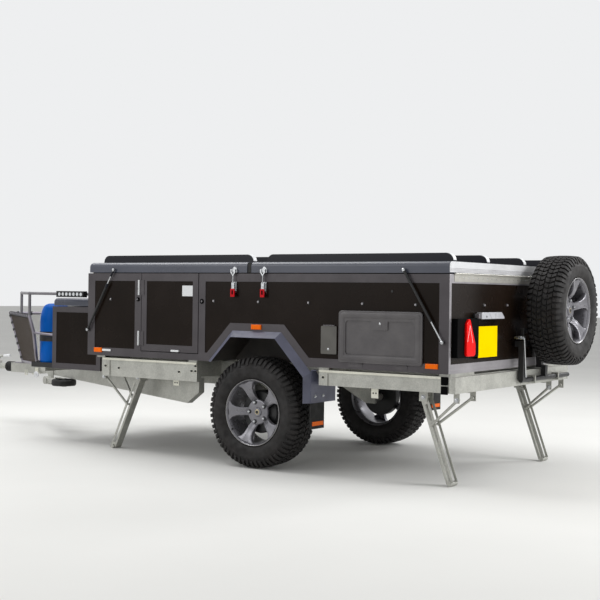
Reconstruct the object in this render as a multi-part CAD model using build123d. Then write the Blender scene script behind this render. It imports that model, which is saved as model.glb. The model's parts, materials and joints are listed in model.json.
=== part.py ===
from build123d import *
from math import atan2, cos, degrees, hypot, radians, sin, sqrt
import os

# Off-road camper trailer, lids closed, parked on its wheels and four corner legs.
# Millimetres. x runs rearwards with 0 at the body's rear face, y to the trailer's right,
# z up from the ground. The last step moves the whole to the middle of its length.

# Body box
BODY_L = 3105.0
BODY_W = 1880.0
BODY_Z0 = 728.0
BODY_Z1 = 1354.0
WALL = 29.0
PANEL_IN = 3.0
LINER = 2.0
TOP_RAIL = 57.0
BOTTOM_RAIL = 60.0
FLOOR_T = 30.0
RUN = 6.0
FIT = 0.3

BODY_X0 = -BODY_L
SIDE_Y = BODY_W / 2
PANEL_Y = SIDE_Y - PANEL_IN
INNER_Y = SIDE_Y - WALL
RAIL_Z = BODY_Z1 - TOP_RAIL
SILL_Z = BODY_Z0 + BOTTOM_RAIL

# Wheel arch, a flat-topped trapezoid
ARCH_X = -1488.0
ARCH_TOP_Z = 1006.0
ARCH_TOP_HALF = 232.0
ARCH_SLOPE = 0.95
ARCH_BAND = 53.0
FLARE_OUT = 50.0
FLARE_DROP = 42.0
FLARE_T = 4.0
TAIL_X = 458.0
TAIL_IN = 27.0
TAIL_Z = 482.0
ARCH_BOX_Y = SIDE_Y - 300.0
ARCH_BOX_T = 3.0

# Uprights of the side frame, with the doorway in front of the wheel arch
FRONT_POST = 73.0
REAR_POST = 70.0
DOOR_W = 553.0
DOOR_X1 = ARCH_X - 518.0
DOOR_X0 = DOOR_X1 - DOOR_W
DOOR_Z0 = SILL_Z - 14.0
HINGE_POST = 63.0
LOCK_POST = 60.0
DOOR_GAP = 5.0
DOOR_FRAME = 50.0

# Wheels, 265/65 R17
WHEEL_X = ARCH_X - 20.0
TYRE_R = 388.0
TYRE_W = 265.0
TRACK_Y = SIDE_Y - 102.0
RIM_R = 216.0
LIP_R = 231.0
LIP_T = 12.0
RIM_W = 228.0
RIM_WALL = 9.0
HUB_R = 82.0
BORE_R = 42.0
BORE_DEEP = 12.0
NUT_PCD = 139.7
NUT_COUNT = 5
NUT_R = 11.0
NUT_LEN = 22.0
MOUNT_OFFSET = 22.0
HUB_FACE = 46.0
SPOKE_BACK = 62.0
SPOKE_FACE = 98.0
SPOKES = 5
DRUM_R = 150.0
DRUM_W = 70.0

# Lids
SEAL = 6.0
LID_H = 74.0
LID_T = 20.0
LID_GAP = 37.0
LID_SPLIT_X = -1558.0
LID_EDGE_R = 28.0
LID_NOSE_R = 35.0
ROOF_RAIL_H = 58.0
ROOF_RAIL_W = 38.0
ROOF_RAIL_Y = (-SIDE_Y + 150.0, -300.0, 300.0, SIDE_Y - 150.0)
ROOF_RAIL_END = 40.0
ROOF_RAIL_R = 52.0
LID_Z0 = BODY_Z1 + SEAL
LID_Z1 = LID_Z0 + LID_H
HINGE_OUT = 8.0
LID_AXIS_Z = BODY_Z1 + 4.0
LID_AXIS_R = 5.0

# Chassis
CHASSIS_Z1 = BODY_Z0 - 16.0
CHASSIS_FRONT_Z0 = CHASSIS_Z1 - 141.0
CHASSIS_REAR_Z0 = CHASSIS_Z1 - 106.0
RAIL_Y1 = SIDE_Y - 30.0
RAIL_Y0 = RAIL_Y1 - 52.0
RAIL_LIP = 24.0
RAIL_SET = 7.0
RAIL_END = 70.0
MAIN_Y1 = SIDE_Y - 315.0
MAIN_Y0 = MAIN_Y1 - 50.0
CHASSIS_X0 = BODY_X0 + 75.0
SIDE_RAIL_X0 = BODY_X0 + 135.0
SIDE_RAIL_X1 = ARCH_X - 552.0
SIDE_RAIL_X2 = ARCH_X + 503.0
CROSS_W = 80.0
REAR_BEAM_X1 = 42.0
REAR_BEAM_Y = SIDE_Y - 15.0

# Drawbar
NOSE_X0 = BODY_X0 - 532.0
BEAM_TOP_Z = CHASSIS_Z1 - 120.0
BEAM_TIP_Z0 = 485.0
BEAM_TIP_Z1 = 555.0
BEAM_T = 46.0
BEAM_X1 = SIDE_RAIL_X1 - 20.0
BEAM_Y1 = SIDE_Y - 111.0
DEEP_X = BEAM_X1 - 150.0
DEEP_Z = 400.0
BEAM_END_Z = 490.0
APEX_X = NOSE_X0 - 1063.0
NOSE_BEAM_X0 = APEX_X - 260.0
NOSE_BEAM_HALF = 45.0
NOSE_BEAM_Z0 = 462.0
NOSE_BEAM_Z1 = 547.0
COUPLING_X0 = NOSE_BEAM_X0 - 310.0
BALL_X = COUPLING_X0 + 55.0
BALL_R = 25.0

# Nose box
NOSE_Y = SIDE_Y - 140.0
NOSE_Z0 = BEAM_TOP_Z
NOSE_SEAM_Z = 1090.0
NOSE_Z1 = 1157.0
NOSE_GAP = 6.0
NOSE_WALL = 25.0
NOSE_FRAME = 45.0
NOSE_AXIS_X = BODY_X0 - 12.0
NOSE_AXIS_Z = NOSE_Z1 + 6.0
NOSE_HINGE_Y = (-NOSE_Y + 240.0, 0.0, NOSE_Y - 240.0)

# Stone guard: two mesh wings that lean forward from the drawbar, seen from above a V
GUARD_X = NOSE_X0 - 1213.8
GUARD_Z0 = 562.0
GUARD_Z1 = 1003.0
GUARD_LEAN = 0.40
GUARD_BACK = 1177.0
GUARD_OUT = NOSE_Y + 50.0
GUARD_R = 13.0
GUARD_MID_Z = 872.0
GUARD_LOW_Z = 600.0
GUARD_LOW_SHARE = 0.75
STAY_Z = 858.0
MESH_T = 3.0

# Support rack for the opened front lid
RACK_Z = 1192.0
RACK_R = 12.0
POST_SHARE = 0.614
LIGHT_X0 = BODY_X0 - 383.0
LIGHT_X1 = LIGHT_X0 + 294.0
LIGHT_Z0 = RACK_Z - 26.0
LIGHT_Z1 = RACK_Z + 22.0
LIGHT_D = 44.0

# Gas bottle and its tray
BOTTLE_R = 128.0
BOTTLE_X = NOSE_X0 - 160.0
BOTTLE_Y = -NOSE_Y + 193.0
BOTTLE_Z1 = 1110.0
BOTTLE_NECK_R = 55.0
TRAY_Z = BEAM_TOP_Z - 4.0
TRAY_T = 5.0
TRAY_Y1 = NOSE_Y - 55.0
STRAP_Z0 = 838.0
STRAP_Z1 = 878.0
STRAP_T = 3.0

# Corner legs: a channel that hangs from its pivot, and a brace whose pin runs in its slots.
# The brace is as long as the distance between the two pivots, so it turns twice as fast.
LEG_PIVOT_Z = CHASSIS_REAR_Z0 - 44.0
LEG_Y = RAIL_Y0 - 118.0
LEG_W = 66.0
LEG_D = 52.0
LEG_T = 4.0
LEG_FOOT_R = 16.0
LEG_PIN_R = 9.0
BRACE_L = 278.0
BRACE_R = 9.0
BRACE_PIN_R = 7.0
BRACE_SPREAD = 110.0
EAR_T = 6.0
FRONT_LEG_X = BODY_X0 + 375.0
REAR_LEG_X = -260.0
FRONT_TOE = 24.8
REAR_TOE = 19.8

# Spare wheel and its folding carrier
SPARE_X = 200.0
SPARE_Y = 415.0
SPARE_Z = 1125.0
CARRIER_X = REAR_BEAM_X1 + 26.0
CARRIER_Z = CHASSIS_REAR_Z0 + 39.0
CARRIER_R = 17.0
CARRIER_Y0 = 25.0
CARRIER_Y1 = SIDE_Y - 90.0
POST_W = 46.0
MAST = 40.0
MAST_X = 32.0
POST_TOP_Z = 913.0
LUG_Y = (200.0, 620.0)

X_SHIFT = -(COUPLING_X0 + SPARE_X + TYRE_W / 2) / 2


def block(x0, x1, y0, y1, z0, z1):
    """Box between two corners, in any order."""
    at = Pos((x0 + x1) / 2, (y0 + y1) / 2, (z0 + z1) / 2)
    return at * Box(abs(x1 - x0), abs(y1 - y0), abs(z1 - z0))


def side_prism(points, y0, y1):
    """Outline of (x, z) points drawn out from y0 to y1."""
    face = Plane.XZ * make_face(Polyline(*points, close=True))
    return Pos(0, y1, 0) * extrude(face, amount=y1 - y0)


def rod(start, end, radius):
    """Round bar from one point to another."""
    p, q = Vector(*start), Vector(*end)
    plane = Plane(origin=p, z_dir=q - p)
    return plane * Cylinder(radius, (q - p).length, align=(Align.CENTER, Align.CENTER, Align.MIN))


def cross_rod(x, z, y0, y1, radius):
    """Round bar along y."""
    return rod((x, y0, z), (x, y1, z), radius)


def cross_bar(x0, x1, y, z, radius):
    """Round bar along x."""
    return rod((x0, y, z), (x1, y, z), radius)


def mirrored(shape):
    """The same piece on the trailer's other side."""
    return mirror(shape, about=Plane.XZ)


def both_sides(shape):
    """A left piece and its mirror image, as separate solids."""
    return Compound(children=[*shape.solids(), *mirrored(shape).solids()])


def arch_half(z, inset):
    """Half width of the wheel arch's outline at a height, drawn in by an inset."""
    return ARCH_TOP_HALF + (ARCH_TOP_Z - z) * ARCH_SLOPE - inset * sqrt(1 + ARCH_SLOPE**2)


def arch_points(inset, foot_z):
    """Trapezoid of the wheel arch, drawn in by an inset, with its foot at a height."""
    top_z = ARCH_TOP_Z - inset
    top, foot = arch_half(top_z, inset), arch_half(foot_z, inset)
    return [(ARCH_X - foot, foot_z), (ARCH_X - top, top_z), (ARCH_X + top, top_z),
            (ARCH_X + foot, foot_z)]


def arch_cut(inset, y0, y1):
    """Solid that cuts the wheel arch out of a side."""
    return side_prism(arch_points(inset, BODY_Z0 - 1), y0, y1)


def side_frame(with_door):
    """Left side's grey frame: rails, uprights and the band round the wheel arch."""
    y0, y1 = -SIDE_Y, -INNER_Y - LINER
    frame = block(BODY_X0, 0, y0, y1, BODY_Z0, BODY_Z1)
    rear_end = -REAR_POST
    front_end = BODY_X0 + FRONT_POST
    frame -= block(front_end, DOOR_X0 - HINGE_POST, y0, y1, SILL_Z, RAIL_Z)
    frame -= block(DOOR_X0, DOOR_X1, y0, y1, SILL_Z, RAIL_Z)
    if with_door:
        frame -= block(DOOR_X0, DOOR_X1, y0, y1, DOOR_Z0, BODY_Z1)
    frame -= block(DOOR_X1 + LOCK_POST, rear_end, y0, y1, SILL_Z, RAIL_Z)
    frame += side_prism(arch_points(0, BODY_Z0), y0, y1)
    return frame - arch_cut(ARCH_BAND, y0, y1)


# Hatch in the left side and the small flap beside it: x0, x1, z0, z1
HATCH = (-808.0, -182.0, SILL_Z + 2.0, 1112.0)
FLAP = (HATCH[0] - 135.0, HATCH[0] - 22.0, 825.0, 1001.0)
HATCH_GAP = 5.0


def side_panels(with_door):
    """Left side's black panels, set into the frame and carried by one inner liner."""
    y0, y1 = -PANEL_Y, -INNER_Y
    panels = block(BODY_X0, 0, y1 - LINER, y1, BODY_Z0, BODY_Z1)
    panels -= arch_cut(ARCH_BAND, y1 - LINER - 1, y1 + 1)
    panels += block(BODY_X0 + FRONT_POST, DOOR_X0 - HINGE_POST, y0, y1, SILL_Z, RAIL_Z)
    rear = block(DOOR_X1 + LOCK_POST, -REAR_POST, y0, y1, SILL_Z, RAIL_Z)
    panels += rear - side_prism(arch_points(0, BODY_Z0 - 1), y0 - 1, y1 + 1)
    if not with_door:
        return panels + block(DOOR_X0, DOOR_X1, y0, y1, SILL_Z, RAIL_Z)
    for x0, x1, z0, z1 in (HATCH, FLAP, (DOOR_X0, DOOR_X1, DOOR_Z0, BODY_Z1 + 1)):
        panels -= block(x0, x1, y0 - 1, y1 + 1, z0, z1)
    return panels + hookup_pocket()


def end_wall(x0, x1):
    """Front or rear wall between the side frames, with rails and a set-in panel."""
    width = INNER_Y
    wall = block(x0, x1, -width, width, BODY_Z0, BODY_Z1)
    outer = x0 if x0 < -BODY_L / 2 else x1
    inward = PANEL_IN if outer == x0 else -PANEL_IN
    wall -= block(outer, outer + inward, -width + 10, width - 10, SILL_Z, RAIL_Z)
    return wall


def floor_pan():
    """Body floor between the walls, cut away over the wheels."""
    pan = block(BODY_X0 + WALL, -WALL, -INNER_Y, INNER_Y, BODY_Z0, BODY_Z0 + FLOOR_T)
    cut = side_prism(arch_points(ARCH_BAND, BODY_Z0), -SIDE_Y, -ARCH_BOX_Y)
    return pan - cut - mirrored(cut)


def wheel_box():
    """Left wheel box: a sheet arch between the side wall and its inner plate."""
    outer = side_prism(arch_points(ARCH_BAND, BODY_Z0), -INNER_Y, -ARCH_BOX_Y)
    inner = side_prism(arch_points(ARCH_BAND + ARCH_BOX_T, BODY_Z0 - 1), -SIDE_Y,
                       -ARCH_BOX_Y - ARCH_BOX_T)
    return outer - inner


def flare():
    """Left flare: a folded strip that leans out round the wheel arch and down behind it."""
    def outline(inset, tail_half, grow):
        top_z = ARCH_TOP_Z - inset
        knee_z = ARCH_TOP_Z - (tail_half - ARCH_TOP_HALF + inset * sqrt(1 + ARCH_SLOPE**2)) / ARCH_SLOPE
        foot = BODY_Z0 - grow
        return [(ARCH_X - arch_half(foot, inset), foot), (ARCH_X - arch_half(top_z, inset), top_z),
                (ARCH_X + arch_half(top_z, inset), top_z), (ARCH_X + tail_half, knee_z),
                (ARCH_X + tail_half, TAIL_Z - grow), (ARCH_X, TAIL_Z - grow)]

    def wedge(thick, grow):
        at_side = outline(ARCH_BAND + thick, TAIL_X - thick, grow)
        at_edge = outline(ARCH_BAND + FLARE_DROP + thick, TAIL_X - TAIL_IN - thick, grow)
        faces = []
        for y, points in ((-SIDE_Y + grow, at_side), (-SIDE_Y - FLARE_OUT - grow, at_edge)):
            faces.append(Pos(0, y, 0) * (Plane.XZ * make_face(Polyline(*points, close=True))))
        return loft(faces, ruled=True)

    strip = wedge(0, 0) - wedge(FLARE_T, 2)
    strip -= block(ARCH_X - 900, ARCH_X, -SIDE_Y - 2 * FLARE_OUT, -SIDE_Y + 1, TAIL_Z - 5, BODY_Z0)
    return strip


PLATE_Y1 = MAIN_Y1 + 12.0
PLATE_T = 4.0
PLATE_TOP_Z = BODY_Z0 - 20.0
PLATE_LOW_Z = BODY_Z0 - 98.0
PLATE_SLANT = (SIDE_Y - 127.0, SIDE_Y - 50.0)
MUD_Y1 = SIDE_Y - 170.0
MUD_T = 6.0
MUD_Z0 = 305.0
MUD_LAP = 30.0


def flap_plate():
    """Left plate behind the wheel that the mud flap hangs from, with a shelf on its top edge."""
    x = ARCH_X + TAIL_X
    low_y, high_y = PLATE_SLANT
    outer_y = -SIDE_Y + FIT
    outline = Polyline((outer_y, TAIL_Z), (-PLATE_Y1, TAIL_Z), (-PLATE_Y1, PLATE_LOW_Z),
                       (-low_y, PLATE_LOW_Z), (-high_y, PLATE_TOP_Z), (outer_y, PLATE_TOP_Z), close=True)
    plate = extrude(Pos(x, 0, 0) * (Plane.YZ * make_face(outline)), amount=PLATE_T)
    shelf = block(x, x + 40, outer_y, -high_y + 4, PLATE_TOP_Z - PLATE_T, PLATE_TOP_Z)
    return plate + shelf


def mud_flap():
    """Left rubber flap under the plate, bolted to its front face."""
    x = ARCH_X + TAIL_X
    return block(x - MUD_T, x, -SIDE_Y + 2, -MUD_Y1, MUD_Z0, TAIL_Z + MUD_LAP)


def wheel_frame(x, y, z, outward, spoke):
    """Plane of a wheel at a place: its z axis points outward and its x axis along a spoke."""
    return Plane(origin=(x, y, z), x_dir=spoke, z_dir=outward)


def revolved(points):
    """Ring or disc from an outline of (radius, height) points about the z axis."""
    face = Plane.XZ * make_face(Polyline(*points, close=True))
    return revolve(face, axis=Axis.Z)


def tyre_shape():
    """All-terrain tyre on the z axis, out to the tips of its lugs."""
    half = TYRE_W / 2
    bead = RIM_W / 2 - LIP_T
    shoulder = TYRE_R - 14
    points = [(RIM_R + FIT, 1 - bead), (LIP_R + FIT, 1 - bead), (LIP_R + 6, -bead - 8), (LIP_R + 60, -half),
              (TYRE_R - 60, -half + 3), (shoulder - 8, -half + 22), (TYRE_R - 4, -half + 34), (TYRE_R, 0),
              (TYRE_R - 4, half - 34),
              (shoulder - 8, half - 22), (TYRE_R - 60, half - 3), (LIP_R + 60, half),
              (LIP_R + 6, bead + 8), (LIP_R + FIT, bead - 1), (RIM_R + FIT, bead - 1)]
    return revolved(points)


def rim_shape():
    """Five-spoke alloy wheel on the z axis, its spokes rising from a sunk hub towards +z."""
    half = RIM_W / 2
    lip = LIP_T
    r = RIM_R
    w = RIM_WALL
    barrel = revolved([(r - w, -half + w), (LIP_R - w, -half), (LIP_R, -half), (LIP_R, -half + lip - FIT),
                       (r, -half + lip), (r, half - lip), (LIP_R, half - lip + FIT), (LIP_R, half),
                       (LIP_R - w, half), (r - w, half - w)])
    face = revolved([(0, MOUNT_OFFSET), (HUB_R, MOUNT_OFFSET), (r - w / 2, SPOKE_BACK),
                     (r - w / 2, SPOKE_FACE), (HUB_R, HUB_FACE), (0, HUB_FACE)])
    window = Polyline((HUB_R + 18, -12), (r - 40, -66), (r - 22, -48), (r - 18, 0), (r - 22, 48),
                      (r - 40, 66), (HUB_R + 18, 12), close=True)
    cut = extrude(Pos(0, 0, MOUNT_OFFSET - 12) * make_face(window), amount=100)
    cut = fillet(cut.edges().filter_by(Axis.Z), 8)
    for i in range(SPOKES):
        face -= Rot(0, 0, (i + 0.5) * 360 / SPOKES) * cut
    face -= Pos(0, 0, MOUNT_OFFSET + BORE_DEEP / 2) * Cylinder(BORE_R, BORE_DEEP)
    rim = barrel + face
    for i in range(NUT_COUNT):
        at = Rot(0, 0, i * 360 / NUT_COUNT) * Pos(NUT_PCD / 2, 0, HUB_FACE + NUT_LEN / 2)
        rim += at * Cylinder(NUT_R, NUT_LEN)
    return rim


def drum_shape():
    """Brake drum and hub behind the rim, on the z axis."""
    return Pos(0, 0, MOUNT_OFFSET - DRUM_W / 2) * Cylinder(DRUM_R, DRUM_W)


def axle():
    """Rubber-sprung axle: a cross tube with a trailing arm and stub each side."""
    tube_x, tube_z = WHEEL_X - 260.0, CHASSIS_REAR_Z0 - 60.0
    tube = block(tube_x - 45, tube_x + 45, -MAIN_Y1 - 8, MAIN_Y1 + 8, tube_z - 45, tube_z + 45)
    for side in (-1, 1):
        arm_y0, arm_y1 = side * (MAIN_Y1 + 8), side * (MAIN_Y1 + 38)
        outline = [(tube_x - 55, tube_z - 55), (tube_x - 55, tube_z + 55), (tube_x + 40, tube_z + 55),
                   (WHEEL_X + 45, TYRE_R + 45), (WHEEL_X + 45, TYRE_R - 45), (WHEEL_X - 40, TYRE_R - 45)]
        arm = side_prism(outline, min(arm_y0, arm_y1), max(arm_y0, arm_y1))
        tube += arm
        stub_y = side * (TRACK_Y + MOUNT_OFFSET - DRUM_W - FIT)
        tube += cross_rod(WHEEL_X, TYRE_R, arm_y1, stub_y, 30)
        tube += block(tube_x - 40, tube_x + 40, side * MAIN_Y0, side * MAIN_Y1, tube_z, BEAM_TOP_Z)
    return tube


def side_rail(x0, x1, side, z0):
    """Rail under a body side: a lip along its top over a web that is set in between its ends."""
    rail = block(x0, x1, side * RAIL_Y0, side * RAIL_Y1, z0, CHASSIS_Z1)
    web_y, open_y = side * (RAIL_Y1 - RAIL_SET), side * (RAIL_Y1 + 1)
    return rail - block(x0 + RAIL_END, x1 - RAIL_END, web_y, open_y, z0 - 1, CHASSIS_Z1 - RAIL_LIP)


def chassis():
    """Galvanised ladder under the body."""
    steel = []
    for side in (-1, 1):
        steel.append(side_rail(SIDE_RAIL_X0, SIDE_RAIL_X1, side, CHASSIS_FRONT_Z0))
        steel.append(side_rail(SIDE_RAIL_X2, 0, side, CHASSIS_REAR_Z0))
        steel.append(block(CHASSIS_X0, 0, side * MAIN_Y0, side * MAIN_Y1, BEAM_TOP_Z, CHASSIS_Z1))
        for x0 in (CHASSIS_X0, SIDE_RAIL_X1 - CROSS_W, SIDE_RAIL_X2, -CROSS_W):
            x1, y_in, y_out = x0 + CROSS_W, side * MAIN_Y1, side * RAIL_Y0
            steel.append(block(x0, x1, y_in, y_out, CHASSIS_REAR_Z0, CHASSIS_Z1))
            steel.append(block(x0, x1, side * MAIN_Y0, side * RAIL_Y1, CHASSIS_Z1, BODY_Z0))
        for leg_x, toward in ((FRONT_LEG_X, -1), (REAR_LEG_X, 1)):
            steel += leg_mounts(leg_x, toward, side)
    for x0 in (CHASSIS_X0, SIDE_RAIL_X1 - CROSS_W, SIDE_RAIL_X2, -CROSS_W):
        steel.append(block(x0, x0 + CROSS_W, -MAIN_Y0, MAIN_Y0, CHASSIS_REAR_Z0, CHASSIS_Z1))
    steel.append(block(0, REAR_BEAM_X1, -REAR_BEAM_Y, REAR_BEAM_Y, CHASSIS_REAR_Z0, CHASSIS_Z1 - 4))
    steel += carrier_lugs()
    frame = steel[0]
    for piece in steel[1:]:
        frame += piece
    return frame


def leg_mounts(leg_x, toward, side):
    """Cross plate with two cheeks for a leg's pivot, and the two ears that its brace hangs from."""
    seat_z = CHASSIS_REAR_Z0
    pieces = [block(leg_x - 40, leg_x + 40, side * MAIN_Y1, side * RAIL_Y0, seat_z, seat_z + 30)]
    for face in (-1, 1):
        y = side * LEG_Y + face * (LEG_W / 2 + 2 + EAR_T / 2)
        cheek = block(leg_x - 30, leg_x + 30, y - EAR_T / 2, y + EAR_T / 2, LEG_PIVOT_Z - 28, seat_z)
        pieces.append(cheek - cross_rod(leg_x, LEG_PIVOT_Z, y - EAR_T, y + EAR_T, LEG_PIN_R + FIT))
        y = side * LEG_Y + face * (BRACE_SPREAD + EAR_T)
        x = leg_x + toward * BRACE_L
        ear = block(x - 20, x + 20, y - EAR_T / 2, y + EAR_T / 2, LEG_PIVOT_Z - 20, seat_z)
        pieces.append(ear - cross_rod(x, LEG_PIVOT_Z, y - EAR_T, y + EAR_T, BRACE_PIN_R + FIT))
    return pieces


def drawbar():
    """A-frame of two deepening beams that meet behind the coupling."""
    run = BEAM_X1 - APEX_X
    angle = degrees(atan2(BEAM_Y1, run))
    scale = hypot(run, BEAM_Y1) / run
    def along(x):
        return (x - APEX_X) * scale
    points = [(along(APEX_X), BEAM_TIP_Z0), (along(APEX_X), BEAM_TIP_Z1), (along(NOSE_X0), BEAM_TOP_Z),
              (along(BEAM_X1), BEAM_TOP_Z), (along(BEAM_X1), BEAM_END_Z), (along(DEEP_X), DEEP_Z)]
    beam = side_prism(points, -BEAM_T / 2, BEAM_T / 2)
    frame = block(NOSE_BEAM_X0, APEX_X + 120, -NOSE_BEAM_HALF, NOSE_BEAM_HALF, NOSE_BEAM_Z0, NOSE_BEAM_Z1)
    for side in (-1, 1):
        frame += Pos(APEX_X, 0, 0) * Rot(0, 0, side * angle) * beam
    frame += block(BOTTLE_X - 25, BOTTLE_X + 25, -TRAY_Y1, TRAY_Y1, TRAY_Z - 30, TRAY_Z)
    return frame


COUPLING_Z = 508.0
COUPLING_R = 26.0


def coupling():
    """Ball coupling: a pressed head with a socket, a hand lever and a tube into the drawbar."""
    head = block(COUPLING_X0, BALL_X + 60, -38, 38, COUPLING_Z - 26, COUPLING_Z + 46)
    head = fillet(head.edges().filter_by(Axis.Z), 30)
    head -= Pos(BALL_X, 0, COUPLING_Z - 8) * Cylinder(BALL_R + 1, 60)
    head += rod((BALL_X + 50, 0, COUPLING_Z), (NOSE_BEAM_X0, 0, COUPLING_Z), COUPLING_R)
    head += tube_run([(BALL_X + 20, 0, COUPLING_Z + 46), (BALL_X + 60, 0, COUPLING_Z + 88),
                      (BALL_X + 190, 0, COUPLING_Z + 100)], 9)
    return head


def gaiter():
    """Ribbed rubber boot on the coupling's tube."""
    outline = [(COUPLING_R + FIT, 0)]
    for i in range(4):
        outline += [(38, 22 * i), (46, 22 * i + 7), (46, 22 * i + 13), (38, 22 * i + 20)]
    outline.append((COUPLING_R + FIT, 86))
    return Plane(origin=(NOSE_BEAM_X0 - 88, 0, COUPLING_Z), z_dir=(1, 0, 0)) * revolved(outline)


# Door hinges: bottom and top heights
HINGES = ((DOOR_Z0 + 45.0, DOOR_Z0 + 150.0), (BODY_Z1 - 162.0, BODY_Z1 - 50.0))
DOOR_AXIS_X = DOOR_X0 - 19.0
HINGE_R = 6.0
HINGE_T = 3.0


def door():
    """Side door: an extruded frame round a black panel, with its two hinge leaves."""
    x0, x1 = DOOR_X0 + DOOR_GAP, DOOR_X1 - DOOR_GAP - 2
    z0 = DOOR_Z0 + DOOR_GAP
    leaf = block(x0, x1, -SIDE_Y, -INNER_Y, z0, BODY_Z1)
    leaf -= block(x0 + DOOR_FRAME, x1 - DOOR_FRAME, -SIDE_Y, -PANEL_Y, z0 + DOOR_FRAME, RAIL_Z)
    for hz0, hz1 in HINGES:
        edge_x = DOOR_AXIS_X + HINGE_R + FIT
        leaf += block(edge_x, x0 + 24, -SIDE_Y - HINGE_T, -SIDE_Y - FIT, hz0, hz1)
        leaf += block(x0, x0 + 24, -SIDE_Y - HINGE_T, -SIDE_Y, hz0, hz1)
    leaf += block(x0 + 300, x0 + 370, -SIDE_Y - 14, -SIDE_Y, z0 + 4, z0 + 16)
    return leaf


def door_hinges():
    """Hinge barrels and fixed leaves on the door's front post."""
    pieces = []
    for hz0, hz1 in HINGES:
        barrel = rod((DOOR_AXIS_X, -SIDE_Y - HINGE_R, hz0), (DOOR_AXIS_X, -SIDE_Y - HINGE_R, hz1), HINGE_R)
        leaf = block(DOOR_AXIS_X - 34, DOOR_AXIS_X, -SIDE_Y - HINGE_T, -SIDE_Y, hz0, hz1)
        pieces.append(barrel + leaf)
    return pieces


HATCH_OUT = 12.0
HATCH_AXIS_Z = HATCH[2] - 24.0
FLAP_AXIS_Z = FLAP[3] + 9.0
HATCH_R = 22.0
HATCH_RIM = 54.0
HATCH_TAB_W = 123.0
HATCH_TAB_Z = 988.0
# Hinges under the hatch: distance from its front edge, and length
HATCH_HINGES = ((73.0, 110.0), (427.0, 90.0))


def hatch():
    """Moulded hatch: a rounded rim with a sunk field, on a plug that fills its opening."""
    x0, x1, z0, z1 = HATCH
    mid_x, mid_z = (x0 + x1) / 2, (HATCH_AXIS_Z + 4 + z1) / 2
    wide, high = x1 - x0, z1 - HATCH_AXIS_Z - 4
    rim = Pos(mid_x, -SIDE_Y - FIT - HATCH_OUT / 2, mid_z) * Box(wide, HATCH_OUT, high)
    rim = fillet(rim.edges().filter_by(Axis.Y), HATCH_R)
    rim = fillet(rim.faces().sort_by(Axis.Y)[0].edges(), 4)
    field_y0, field_y1 = -SIDE_Y - 1.5 * HATCH_OUT, -SIDE_Y - HATCH_OUT / 2
    field = block(x0 + HATCH_RIM, x1 - HATCH_RIM, field_y0, field_y1, HATCH_AXIS_Z + 4 + HATCH_RIM,
                  z1 - HATCH_RIM - 11)
    field = fillet(field.edges().filter_by(Axis.Y), HATCH_R)
    half_tab = HATCH_TAB_W / 2
    tab = block(mid_x - half_tab, mid_x + half_tab, field_y0 - 1, field_y1 + 1, HATCH_TAB_Z, z1)
    field -= fillet(tab.edges().filter_by(Axis.Y), HATCH_R / 2)
    gap = HATCH_GAP
    plug = block(x0 + gap, x1 - gap, -SIDE_Y - FIT, -INNER_Y, z0 + gap, z1 - gap - 3)
    return rim - field + plug


def hookup_flap():
    """Small flap over the mains and water inlets."""
    x0, x1, z0, z1 = FLAP
    rim = block(x0 - 5, x1 + 5, -SIDE_Y - FIT - 8, -SIDE_Y - FIT, z0 - 5, FLAP_AXIS_Z - 4)
    return fillet(rim.edges().filter_by(Axis.Y), 8)


def hatch_hinges():
    """Hinge barrels under the hatch and over the small flap, each with its fixed leaf."""
    y = -SIDE_Y - 6
    pieces = []
    for start, length in HATCH_HINGES:
        hinge_x0, hinge_x1 = HATCH[0] + start, HATCH[0] + start + length
        low = cross_bar(hinge_x0, hinge_x1, y, HATCH_AXIS_Z, 3.7)
        low += block(hinge_x0, hinge_x1, y, -SIDE_Y, HATCH_AXIS_Z - 3, HATCH_AXIS_Z - 1)
        low += block(hinge_x0, hinge_x1, -SIDE_Y - 2, -SIDE_Y, HATCH_AXIS_Z - 24, HATCH_AXIS_Z)
        pieces.append(low)
    high = cross_bar(FLAP[0] + 12, FLAP[1] - 12, y, FLAP_AXIS_Z, 3.7)
    high += block(FLAP[0] + 12, FLAP[1] - 12, y, -PANEL_Y, FLAP_AXIS_Z, FLAP_AXIS_Z + 2)
    return [*pieces, high]


def hookup_pocket():
    """Pocket behind the small flap, with a socket and a filler in it."""
    x0, x1, z0, z1 = FLAP
    deep = -SIDE_Y + 70
    pocket = block(x0 - 6, x1 + 6, -INNER_Y, deep, z0 - 6, z1 + 6)
    pocket -= block(x0, x1, -SIDE_Y, deep - 3, z0, z1)
    for z in (z0 + 50, z1 - 50):
        pocket += rod(((x0 + x1) / 2, deep - 3, z), ((x0 + x1) / 2, deep - 30, z), 28)
    return pocket


def lid(x0, x1, hinge_x, rounded):
    """Hollow lid with rounded long edges; one end carries the moving hinge leaf."""
    y = SIDE_Y
    shell = block(x0, x1, -y, y, LID_Z0, LID_Z1)
    if rounded:
        front_edge = shell.edges().filter_by(Axis.Y).sort_by(Axis.Z)[-2:].sort_by(Axis.X)[0]
        shell = fillet(front_edge, LID_NOSE_R)
    top_edges = shell.edges().filter_by(Axis.X).sort_by(Axis.Z)[-2:]
    shell = fillet(top_edges, LID_EDGE_R)
    inner = block(x0 + LID_T, x1 - LID_T, -y + LID_T, y - LID_T, LID_Z0 - 1, LID_Z1 - LID_T)
    leaf_x = hinge_x + (2.7 if hinge_x == x1 else -2.7)
    return shell - inner + block(hinge_x, leaf_x, -y + 60, y - 60, LID_Z0, LID_Z0 + 34)


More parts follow.
